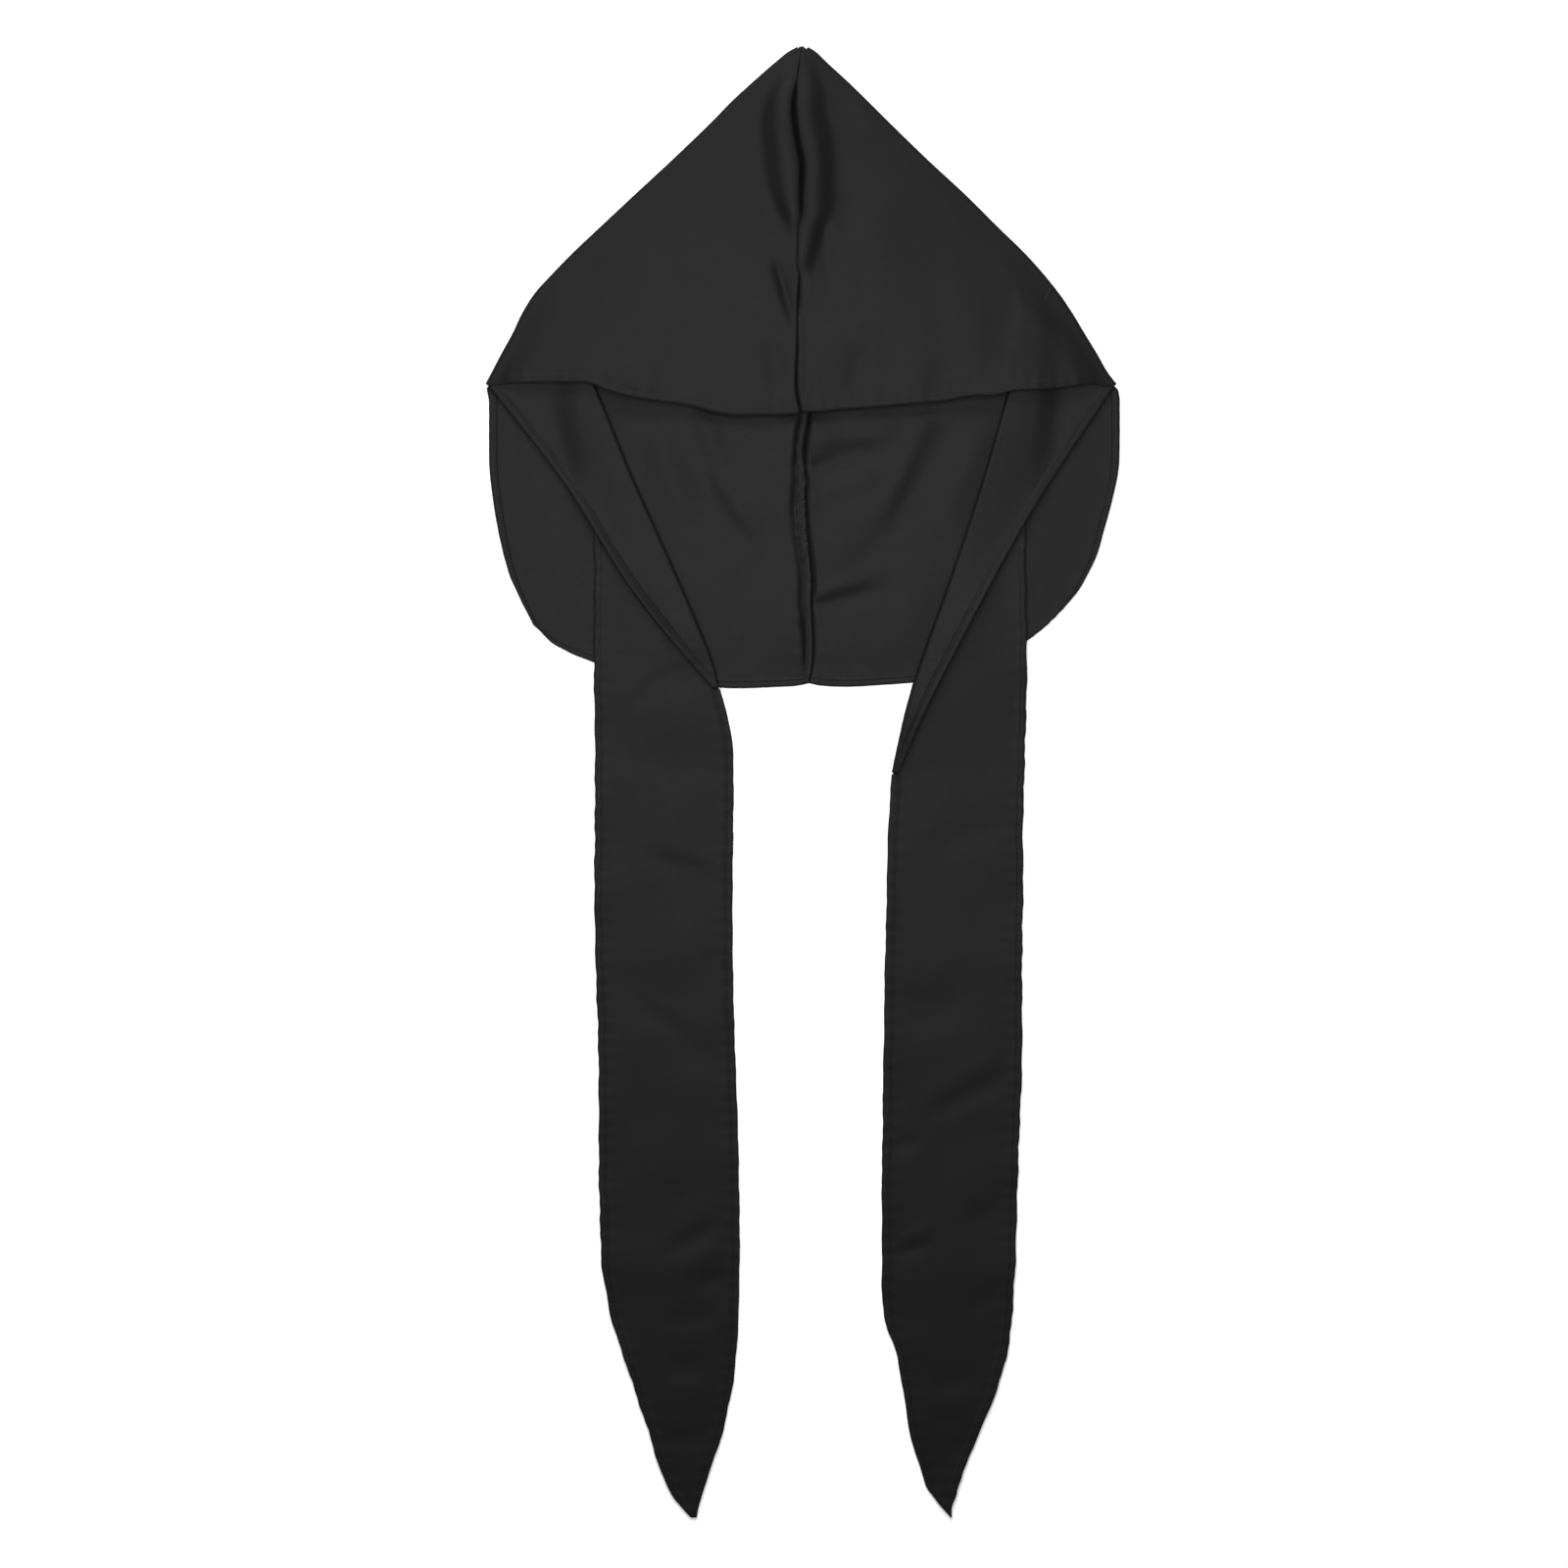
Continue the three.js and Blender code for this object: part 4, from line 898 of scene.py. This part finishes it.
def build_tie(shape, name, material):
    """Tie: rows of the straight run from its point up to the crease, a half turn along the crease, and
    rows of the diagonal run from there to its free edge, and beyond the front corner to its root in the
    side fold."""
    side, half = SIDES[name], shape.cloth / 2
    foot_y = shape.crease(name)[0][1]
    across = stations(TIE_COLUMNS, shape.tie_width, start_too=True)
    tip_start = -shape.hang + shape.tip
    tip_rows = mix(-shape.hang, tip_start, np.linspace(0, 1, POINT_ROWS, endpoint=False) ** 1.2)
    hang_rows = np.linspace(tip_start, foot_y, HANG_ROWS[name], endpoint=False)
    rise = np.linspace(0, 1, CREASE_ROWS[name])
    start = shape.roll_start(name, rise)
    low_y = np.concatenate([tip_rows, hang_rows])
    outer_x, inner_x = tie_outline(shape, name, low_y)
    crease_outer = tie_outline(shape, name, start[:, 1])[0]
    row_y = np.concatenate([low_y, start[:, 1]])
    outer_ends = np.stack([np.concatenate([outer_x, crease_outer]), row_y], -1)
    inner_ends = np.concatenate([np.stack([inner_x, low_y], -1), start])
    lower = mix(outer_ends[:, None], inner_ends[:, None], across[None, :, None])
    width = np.linalg.norm(outer_ends - inner_ends, axis=1)[:, None]
    from_outer, from_inner = across[None] * width, (1 - across[None]) * width
    from_inner = np.where(np.arange(len(lower))[:, None] < len(low_y), from_inner, UNSEEN)
    from_edge = np.minimum(from_outer, from_inner)
    hem = smooth((shape.hem_width + 0.5 - from_edge) / 1.0)
    lower_z = shape.tie_height(name, lower) + 0.8 * hem_wave(lower[..., 1], from_edge, 1.0 + side)
    lower_z = lower_z + 0.35 * shape.hem_rise * hem
    path = free_edge(shape, name)
    root = TIE_PLACES[name]["root"]
    root_length = (1 - root) * shape.folds[name].length
    free_share = path.length / (path.length + root_length)
    on_edge = path.at(clamp(rise / free_share))
    on_root = shape.fold_start(name, mix(1.0, root, clamp((rise - free_share) / (1 - free_share))))
    end = np.where((rise < free_share)[:, None], on_edge, on_root)
    out = stations(DIAGONAL_COLUMNS, DIAGONAL_SPAN, FREE_STATIONS)
    upper = mix(start[:, None], end[:, None], out[None, :, None])
    upper_z = shape.diagonal_height(name, upper)
    direction = path.direction(clamp(rise / free_share))
    gap = upper - on_edge[:, None]
    from_free = np.abs(gap[..., 0] * direction[:, None, 1] - gap[..., 1] * direction[:, None, 0])
    from_free = np.where((rise < free_share)[:, None], from_free, UNSEEN)
    from_corner = np.linalg.norm(upper - shape.fold_start(name, np.float64(1.0)), axis=-1)
    free_hem = hem_profile(from_free, shape.hem_width) * smooth(from_corner / 14)
    upper_z = upper_z + hem_wave(upper[..., 1] * 1.2, from_free, 3.0) * smooth(from_corner / 20)
    inward = np.broadcast_to(shape.crease(name)[2], start.shape)
    turn = half_turn(start, inward, lower_z[len(low_y):, -1], upper_z[:, 0], ROLL_STEPS)[:, ::-1]
    folded = np.concatenate([turn, lift(upper, upper_z)], 1)
    lower = lift(lower, lower_z)
    points, quads = joined(name, lower, folded, np.s_[len(low_y):, -1:], 1)
    stitched = 0.25 * shape.hem_rise * stitch_line(from_edge, shape.hem_width)
    lower_outer = half * edge_round(from_edge) + 0.2 * shape.hem_rise * hem - stitched
    lower_inner = half * edge_round(from_edge) + 0.3 * shape.hem_rise * hem
    rim = half * edge_round(from_free)
    bend = np.full(turn.shape[:2], half)
    outer = np.concatenate([lower_outer.ravel(), np.concatenate([bend, rim], 1).ravel()])
    raised = rim + shape.hem_rise * free_hem
    inner = np.concatenate([lower_inner.ravel(), np.concatenate([bend, raised], 1).ravel()])
    return cloth_piece(f"cloth_tie_{name}", points, quads, outer, inner, points[:, :2], material)


def build_back_allowance(shape, material):
    """Overlocked allowance on the cape: a flat double ply left of the seam, with a flattened crown across
    it, ribbed by its thread, its right edge tucked down into the seam, and its middle loose and
    tangled."""
    y = np.linspace(shape.height - 16, -shape.cape + 1.5, 620)
    tall, down = y[:, None], -y / shape.cape
    across = np.linspace(0, 1, 17)
    wander = 0.25 * np.sin(y / 5.3) + 0.3 * np.sin(y / 2.1 + 1) * np.sin(y / 13)
    aside = across[None] * (shape.allowance_spread(y) + wander)[:, None]
    x = shape.back_seam(y)[:, None] + 0.1 - aside
    crown = np.sqrt(clamp(1 - (2 * across - 1) ** 4))[None]
    rib = 0.07 * np.sin(2 * np.pi * (tall / OVERLOCK_STITCH[0] + across[None] * 0.8))
    loose = smooth((down - 0.16) / 0.06) * smooth((0.68 - down) / 0.1)
    tangle = np.sin(y / 1.3 + 2 * np.sin(y / 3.7))[:, None] * np.sin(aside * 1.3 + tall / 2.3)
    pressed = 0.22 * np.exp(-((across - 0.62) / 0.08) ** 2)[None] + loose[:, None] * (0.3 + 0.2 * tangle)
    middle = shape.cloth + shape.clearance / 2 + 0.5 + 0.05 * np.sin(tall / 7)
    over_hem = smooth((shape.hem_width + 4 - tall - shape.cape) / 3)
    open_share = (1 - smooth((down - 0.15) / 0.06))[:, None]
    uneven = 0.5 + 0.5 * np.sin(tall / 2.6) * np.sin(tall / 5.9 + 2)
    tucked = mix(0.45 + 0.45 * uneven, 1.15, open_share) * (1 - smooth(aside / mix(1.1, 2.3, open_share)))
    height = middle + shape.hem_rise * over_hem - tucked
    points = np.stack([x, np.broadcast_to(tall, x.shape), height], -1)
    outer = 0.12 + 0.38 * crown + rib * crown - pressed
    return strip_piece("seam_allowance_back", points, outer, 0.12 + 0.3 * crown, material)


def build_front_allowance(shape, material):
    """The same allowance hanging under the front layer: a flattened crown across it, a constant drop
    below the lowest part of the layer over each of its rows."""
    y = np.linspace(shape.height - 18, shape.hem_middle + 6, 420)
    across = np.linspace(0, 1, 13)
    x = shape.front_seam(y)[:, None] + shape.allowance * mix(-1.0, 0.5, across)[None]
    along = clamp((shape.row_height(0.0) - y) / (shape.row_height(0.0) - shape.row_height(1.0)))
    spot = np.stack([x, np.broadcast_to(y[:, None], x.shape)], -1)
    heights = [shape.front_height(name, along[:, None], spot) for name in SIDES]
    lowest = np.minimum(*heights).min(1, keepdims=True)
    points = lift(spot, np.broadcast_to(lowest - shape.cloth / 2 - ALLOWANCE_DROP, x.shape))
    thick = 0.1 + 0.35 * np.sqrt(clamp(1 - (2 * across - 1) ** 4))[None]
    return strip_piece("seam_allowance_front", points, thick, thick, material, turned=True)


def stitches(name, runs, kind, material):
    """Rows of thread stitches as one mesh: capsules at even steps along each run, turned to its
    direction, with a girth of sqrt(1 - (taper * reach)^2) over their length."""
    pitch, length, width, height = kind
    rings, sides = STITCH_RINGS, STITCH_SIDES
    reach = np.linspace(-1, 1, rings)
    girth = np.sqrt(1 - (STITCH_TAPER * reach) ** 2)
    angle = 2 * np.pi * np.arange(sides) / sides
    form = np.stack([
        np.repeat(reach * length / 2, sides),
        np.outer(girth, np.cos(angle)).ravel() * width / 2,
        np.outer(girth, np.sin(angle)).ravel() * height / 2,
    ], -1)
    ring = np.arange(rings * sides).reshape(rings, sides)
    wrapped = np.concatenate([ring, ring[:, :1]], 1)
    tube = grid_faces(wrapped)[:, ::-1]
    ends = np.array([[0, 1, 2, 3], [0, 3, 4, 5]])
    caps = np.concatenate([ends, (ends + (rings - 1) * sides)[:, ::-1]])
    faces = np.concatenate([tube, caps])
    points, quads = [], []
    for run in runs:
        lengths = run_lengths(run)
        at = np.arange(pitch / 2, lengths[-1], pitch)
        centre, ahead, behind = (
            np.stack([np.interp(at + shift, lengths, run[:, i]) for i in range(3)], -1)
            for shift in (0.0, 0.6, -0.6)
        )
        tangent = (ahead - behind) / np.linalg.norm(ahead - behind, axis=1, keepdims=True)
        across = np.cross([0, 0, 1.0], tangent)
        across /= np.linalg.norm(across, axis=1, keepdims=True)
        up = np.cross(tangent, across)
        placed = centre[:, None] + sum(
            form[None, :, i:i + 1] * axis[:, None] for i, axis in enumerate((tangent, across, up))
        )
        first = sum(len(part) for part in points)
        offsets = first + len(form) * np.arange(len(at))
        points.append(placed.reshape(-1, 3))
        quads.append((faces[None] + offsets[:, None, None]).reshape(-1, 4))
    points, quads = np.concatenate(points), np.concatenate(quads)
    return new_piece(name, points * MM, quads, points[:, :2] * MM, material)


def hem_run(shape, name):
    """Stitch line of the front hem: the front layer's own surface, one inset above its edge."""
    across = np.linspace(0.012, 0.985, 260)
    inset = shape.hem_width - STITCH_INSET
    along = np.full_like(across, 1 - inset / (shape.height - shape.hem_middle))
    spot = shape.crown_point(name, along, across, shape.front_seam)
    wave = hem_wave(spot[..., 0], inset) * smooth((1 - across) * shape.half_width / 10)
    return lift(spot, shape.front_height(name, along, spot) + shape.cloth / 2 + 0.04 + wave)


def cape_run(shape, name):
    """Stitch line of the cape: down its side edge, then along its lower edge to the seam, one inset
    in."""
    inset = shape.hem_width - STITCH_INSET
    side_down = np.linspace(0.05, 1 - inset / shape.cape, 160)
    edge_across = 1 - inset / shape.half_width
    low_across = np.linspace(edge_across, 0.02, 260)
    down = np.concatenate([side_down, np.full_like(low_across, 1 - inset / shape.cape)])
    across = np.concatenate([np.full_like(side_down, edge_across), low_across])
    spot = shape.cape_point(name, down, across)
    wave = hem_wave(spot[..., 0] + spot[..., 1], inset, 2.0)
    return lift(spot, shape.back_height(spot) + shape.cloth / 2 + 0.55 * shape.hem_rise + wave + 0.03)


def tie_runs(shape, name):
    """Stitch lines of a tie, one inset in: both edges of its straight run and its diagonal run's free
    edge."""
    side = SIDES[name]
    inset = shape.hem_width - STITCH_INSET
    crease_y = shape.crease(name)[0][1]
    runs = []
    for number, top in enumerate((SHOWN_BELOW[name], crease_y - 2)):
        y = np.linspace(-shape.hang + 16, top, 520)
        edges = tie_outline(shape, name, y)
        slope = np.gradient(edges[number], y)
        x = edges[number] + (-side if number == 0 else side) * inset * np.sqrt(1 + slope ** 2)
        spot = np.stack([x, y], -1)
        height = shape.tie_height(name, spot) + shape.cloth / 2 + 0.45 * shape.hem_rise
        runs.append(lift(spot, height + 0.8 * hem_wave(y, inset, 1.0 + side) + 0.02))
    path = free_edge(shape, name)
    share = np.linspace(0.06, 0.97, 320)
    direction = path.direction(share)
    inward = side * np.stack([-direction[:, 1], direction[:, 0]], -1)
    spot = path.at(share) + inset * inward
    height = shape.diagonal_height(name, spot) + shape.cloth / 2 + 0.55 * shape.hem_rise
    runs.append(lift(spot, height + hem_wave(spot[..., 1] * 1.2, inset, 3.0) + 0.03))
    return runs


def overlock_run(shape):
    """Thread that binds the raw edge of the cape's seam allowance."""
    y = np.linspace(shape.hem_middle - 2, -shape.cape + 9, 300)
    x = shape.back_seam(y) - 0.8 * shape.allowance_spread(y)
    return lift(np.stack([x, y], -1), np.full_like(y, shape.cloth + shape.clearance / 2 + 0.98))


class Number:
    """A shader value. Arithmetic on it adds the Math nodes that work it out."""

    def __init__(self, graph, socket):
        self.graph, self.socket = graph, socket

    def math(self, operation, *others):
        """Value of an operation on this value and the others."""
        return self.graph.add("ShaderNodeMath", {"operation": operation}, [self, *others])

    def __add__(self, other):
        return self.math("ADD", other)

    def __sub__(self, other):
        return self.math("SUBTRACT", other)

    def __rsub__(self, other):
        return self.graph.add("ShaderNodeMath", {"operation": "SUBTRACT"}, [other, self])

    def __mul__(self, other):
        return self.math("MULTIPLY", other)

    __radd__ = __add__
    __rmul__ = __mul__


class Graph:
    """Node tree of one material."""

    def __init__(self, name):
        self.material = bpy.data.materials.new(name)
        self.material.use_nodes = True
        self.tree = self.material.node_tree
        self.tree.nodes.clear()

    def add(self, kind, settings=None, inputs=(), output=0):
        """Adds a node of a kind, gives it its settings, then values or links for its sockets."""
        node = self.tree.nodes.new(kind)
        for key, value in (settings or {}).items():
            setattr(node, key, value)
        pairs = inputs.items() if isinstance(inputs, dict) else enumerate(inputs)
        for key, value in pairs:
            if isinstance(value, Number):
                self.tree.links.new(value.socket, node.inputs[key])
            else:
                node.inputs[key].default_value = value
        return Number(self, node.outputs[output]) if len(node.outputs) else node

    def blend(self, share, first, second):
        """Colour mix: first where share is 0, second where it is 1."""
        settings = {"data_type": "RGBA", "clamp_factor": True}
        return self.add("ShaderNodeMix", settings, {0: share, 6: first, 7: second}, output=2)

    def noise(self, place, **settings):
        """Noise at a place, with values for its sockets."""
        return self.add("ShaderNodeTexNoise", None, {"Vector": place, **settings})

    def finish(self, surface):
        """The material, with its surface joined to the output."""
        self.add("ShaderNodeOutputMaterial", None, {"Surface": surface})
        return self.material


def cloth_material(name, colours, bump):
    """Black satin-matte cloth: fine weave, slow changes of shade, brushed fibres and lighter lint. The
    weave is the product of a sine across and a sine along the cloth."""
    graph = Graph(name)
    flat = graph.add("ShaderNodeUVMap", {"uv_map": "cloth"})
    place = graph.add("ShaderNodeTexCoord", None, (), output=3)
    across = graph.add("ShaderNodeSeparateXYZ", None, [flat])
    along = Number(graph, across.socket.node.outputs[1])
    rate = 2 * math.pi / (WEAVE_PITCH * MM)
    weave = (across * rate).math("SINE") * (along * rate).math("SINE")
    broad = graph.noise(place, Scale=9.0, Detail=3.0)
    fine = graph.noise(place, Scale=420.0, Detail=4.0)
    slub = graph.noise(place, Scale=90.0, Detail=5.0, Roughness=0.7)
    shade = broad * 0.7 + fine * 0.3
    colour = graph.blend(shade, (*colours.deep, 1), (*colours.cloth, 1))
    lint = ((slub - 0.62) * 6.0).math("MAXIMUM", 0.0)
    colour = graph.blend(lint * 0.3, colour, (*colours.worn, 1))
    relief = weave * 0.35 + fine * 1.2 + slub * 0.8
    bumps = {"Strength": bump, "Distance": BUMP_DEPTH, "Height": relief}
    normal = graph.add("ShaderNodeBump", None, bumps)
    surface = graph.add("ShaderNodeBsdfPrincipled", None, {
        "Base Color": colour,
        "Roughness": fine * 0.12 + slub * 0.1 + (colours.roughness - 0.11),
        "Specular IOR Level": colours.gloss,
        "Normal": normal,
    })
    return graph.finish(surface)


def floor_material(name, colour):
    """Pale floor with a slight grain in its roughness and a little light of its own, which keeps it white
    in the corners of the picture."""
    graph = Graph(name)
    place = graph.add("ShaderNodeTexCoord", None, (), output=3)
    grain = graph.noise(place, Scale=60.0)
    surface = graph.add("ShaderNodeBsdfPrincipled", None, {
        "Base Color": (*colour, 1), "Roughness": grain * 0.05 + FLOOR_ROUGHNESS,
        "Specular IOR Level": 0.0, "Emission Color": (1, 1, 1, 1), "Emission Strength": FLOOR_GLOW,
    })
    return graph.finish(surface)


def black(name):
    """The cloth's or the thread's material, made on first use."""
    colours = bpy.context.scene.durag_colours
    return bpy.data.materials.get(name) or cloth_material(name, colours, BUMPS[name])


PANEL_NODES = [box_mm(f"panel_{name}") for name in SIDES]
PANEL_LOW = np.min([box[0] for box in PANEL_NODES], 0)
PANEL_HIGH = np.max([box[1] for box in PANEL_NODES], 0)
TIE_LOW = min(box_mm(f"tie_{name}")[0][1] for name in SIDES)


def length(name, description, default):
    """A length in metres."""
    return FloatProperty(
        name=name, description=description, default=default, unit="LENGTH", subtype="DISTANCE",
        precision=4,
    )


def share(name, description, default):
    """A number from 0 to 1."""
    return FloatProperty(name=name, description=description, default=default, min=0, max=1)


def tint(name, description, default):
    """A colour."""
    return FloatVectorProperty(
        name=name, description=description, default=default, subtype="COLOR", min=0, max=1,
    )


class DuragSizes(bpy.types.PropertyGroup):
    """Sizes of the laid durag."""

    crown_half_width: length(
        "Crown half width", "Centre line to the front corner",
        float(PANEL_HIGH[0] - PANEL_LOW[0]) / 2 / 1.0025 * MM,
    )
    crown_height: length(
        "Crown height", "Front hem's middle to the peak", float(PANEL_HIGH[1]) * 1.0045 * MM,
    )
    cape_length: length(
        "Cape length", "Front hem's middle to the cape's lower edge", -float(PANEL_LOW[1]) / 1.008 * MM,
    )
    cloth: length("Cloth", "Thickness of the cloth", 0.9 * MM)
    hem_width: length("Hem width", "Turned and stitched edge", 4.0 * MM)
    hem_rise: length("Hem rise", "Extra thickness of a turned hem", 0.55 * MM)
    seam_allowance: length("Seam allowance", "Width of the overlocked allowance", 6.5 * MM)
    pocket_loft: length("Pocket loft", "Rise of the front layer over the head pocket", 4.6 * MM)
    tie_width: length("Tie width", "Width of a tie", 70.0 * MM)
    tie_hang: length("Tie hang", "Front hem's middle to the ties' ends", -float(TIE_LOW) * MM)
    tie_tip: length("Tie point", "Length of a tie's pointed end", 130.0 * MM)


class DuragColours(bpy.types.PropertyGroup):
    """Colours and finish of the cloth."""

    cloth: tint("Cloth", "Main black of the cloth", (0.0049, 0.0049, 0.0050))
    deep: tint("Deep", "Darker shade of the cloth", (0.0040, 0.0040, 0.0041))
    worn: tint("Worn", "Lighter fibres", (0.0105, 0.0105, 0.0107))
    roughness: share("Roughness", "Roughness of the cloth", 0.5)
    gloss: share("Gloss", "Specular level of the cloth", 0.085)
    floor: tint("Floor", "Colour of the floor", (0.97, 0.97, 0.97))


def attach(piece, slot, *nodes):
    """Hides the model's nodes that a piece stands for and puts the piece on the root body. The slot is not
    used.
    """
    if nodes:
        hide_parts(*nodes)
    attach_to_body(piece, "root")


class MESH_OT_durag_panels(bpy.types.Operator):
    """Build both crown panels with the cape and their turned hems"""

    bl_idname = "mesh.durag_panels"
    bl_label = "Crown Panels"

    def execute(self, context):
        shape = Durag(context.scene.durag_sizes)
        for name in SIDES:
            piece = build_panel(shape, name, black("woven_cloth"))
            attach(piece, "black_cloth", f"panel_{name}", f"front_hem_{name}")
        return {"FINISHED"}


class MESH_OT_durag_ties(bpy.types.Operator):
    """Build the two folded ties"""

    bl_idname = "mesh.durag_ties"
    bl_label = "Ties"

    def execute(self, context):
        shape = Durag(context.scene.durag_sizes)
        for name in SIDES:
            piece = build_tie(shape, name, black("woven_cloth"))
            attach(piece, "black_cloth", f"tie_{name}")
        return {"FINISHED"}


class MESH_OT_durag_seams(bpy.types.Operator):
    """Build the allowances of the centre seam"""

    bl_idname = "mesh.durag_seams"
    bl_label = "Centre Seam"

    def execute(self, context):
        shape = Durag(context.scene.durag_sizes)
        builders = {"centre_seam_back": build_back_allowance, "centre_seam_front": build_front_allowance}
        for node, build in builders.items():
            attach(build(shape, black("sewing_thread")), "black_hem", node)
        return {"FINISHED"}


class MESH_OT_durag_stitches(bpy.types.Operator):
    """Sew the hems: thread stitches along every turned edge"""

    bl_idname = "mesh.durag_stitches"
    bl_label = "Stitches"

    def execute(self, context):
        shape = Durag(context.scene.durag_sizes)
        runs = {
            "front_hem": [hem_run(shape, name) for name in SIDES],
            "cape": [cape_run(shape, name) for name in SIDES],
            "overlock": [overlock_run(shape)],
            **{f"tie_{name}": tie_runs(shape, name) for name in SIDES},
        }
        for name, lines in runs.items():
            kind = OVERLOCK_STITCH if name == "overlock" else HEM_STITCH
            attach(stitches(f"stitches_{name}", lines, kind, black("sewing_thread")), "black_hem")
        return {"FINISHED"}


class SCENE_OT_durag_stage(bpy.types.Operator):
    """Set the floor, the soft light and the camera that looks straight down"""

    bl_idname = "scene.durag_stage"
    bl_label = "Stage"

    def execute(self, context):
        colours = context.scene.durag_colours
        corners = np.array([[-1, -1], [1, -1], [1, 1], [-1, 1]]) * FLOOR_REACH
        points = np.concatenate([corners, np.full((4, 1), FLOOR_LEVEL)], 1)
        floor = new_piece(
            "floor", points, np.array([[0, 1, 2, 3]]), corners,
            floor_material("floor", tuple(colours.floor)),
        )
        for name, values in LIGHTS.items():
            add_area(name, *values)
        world = bpy.data.worlds.new("studio")
        world.use_nodes = True
        background = world.node_tree.nodes["Background"]
        background.inputs["Color"].default_value = (1.0, 1.0, 1.0, 1.0)
        background.inputs["Strength"].default_value = WORLD_STRENGTH
        context.scene.world = world
        context.scene.view_settings.view_transform = "Standard"
        add_camera(context.scene)
        return {"FINISHED"}


def add_area(name, place, target, size, energy):
    """Square soft light that faces a target."""
    lamp = bpy.data.lights.new(name, "AREA")
    lamp.size, lamp.energy = size, energy
    holder = bpy.data.objects.new(name, lamp)
    holder.location = place
    holder.rotation_euler = (Vector(target) - Vector(place)).to_track_quat("-Z", "Y").to_euler()
    bpy.context.scene.collection.objects.link(holder)


def add_camera(scene):
    """Camera straight above the middle of the laid durag; its frame's width gives its lens."""
    lens = bpy.data.cameras.new("camera")
    lens.sensor_width = SENSOR_WIDTH
    lens.lens = SENSOR_WIDTH * CAMERA_HEIGHT / FRAME_WIDTH
    holder = bpy.data.objects.new("camera", lens)
    holder.location = (*CAMERA_SPOT, CAMERA_HEIGHT)
    scene.collection.objects.link(holder)
    scene.camera = holder


class VIEW3D_PT_durag(bpy.types.Panel):
    """Sizes, colours and the steps that build the durag"""

    bl_label = "Durag"
    bl_idname = "VIEW3D_PT_durag"
    bl_space_type = "VIEW_3D"
    bl_region_type = "UI"
    bl_category = "Durag"

    def draw(self, context):
        for group in (context.scene.durag_sizes, context.scene.durag_colours):
            box = self.layout.box()
            for name in group.__annotations__:
                box.prop(group, name)
        for step in STEPS:
            self.layout.operator(step.bl_idname)


STEPS = (
    MESH_OT_durag_panels, MESH_OT_durag_ties, MESH_OT_durag_seams, MESH_OT_durag_stitches,
    SCENE_OT_durag_stage,
)
CLASSES = (DuragSizes, DuragColours, *STEPS, VIEW3D_PT_durag)


def register():
    for cls in CLASSES:
        bpy.utils.register_class(cls)
    bpy.types.Scene.durag_sizes = PointerProperty(type=DuragSizes)
    bpy.types.Scene.durag_colours = PointerProperty(type=DuragColours)


def unregister():
    del bpy.types.Scene.durag_colours
    del bpy.types.Scene.durag_sizes
    for cls in reversed(CLASSES):
        bpy.utils.unregister_class(cls)


def main():
    register()
    bpy.ops.scene.durag_stage()
    bpy.ops.mesh.durag_panels()
    bpy.ops.mesh.durag_ties()
    bpy.ops.mesh.durag_seams()
    bpy.ops.mesh.durag_stitches()


if __name__ == "__main__":
    main()
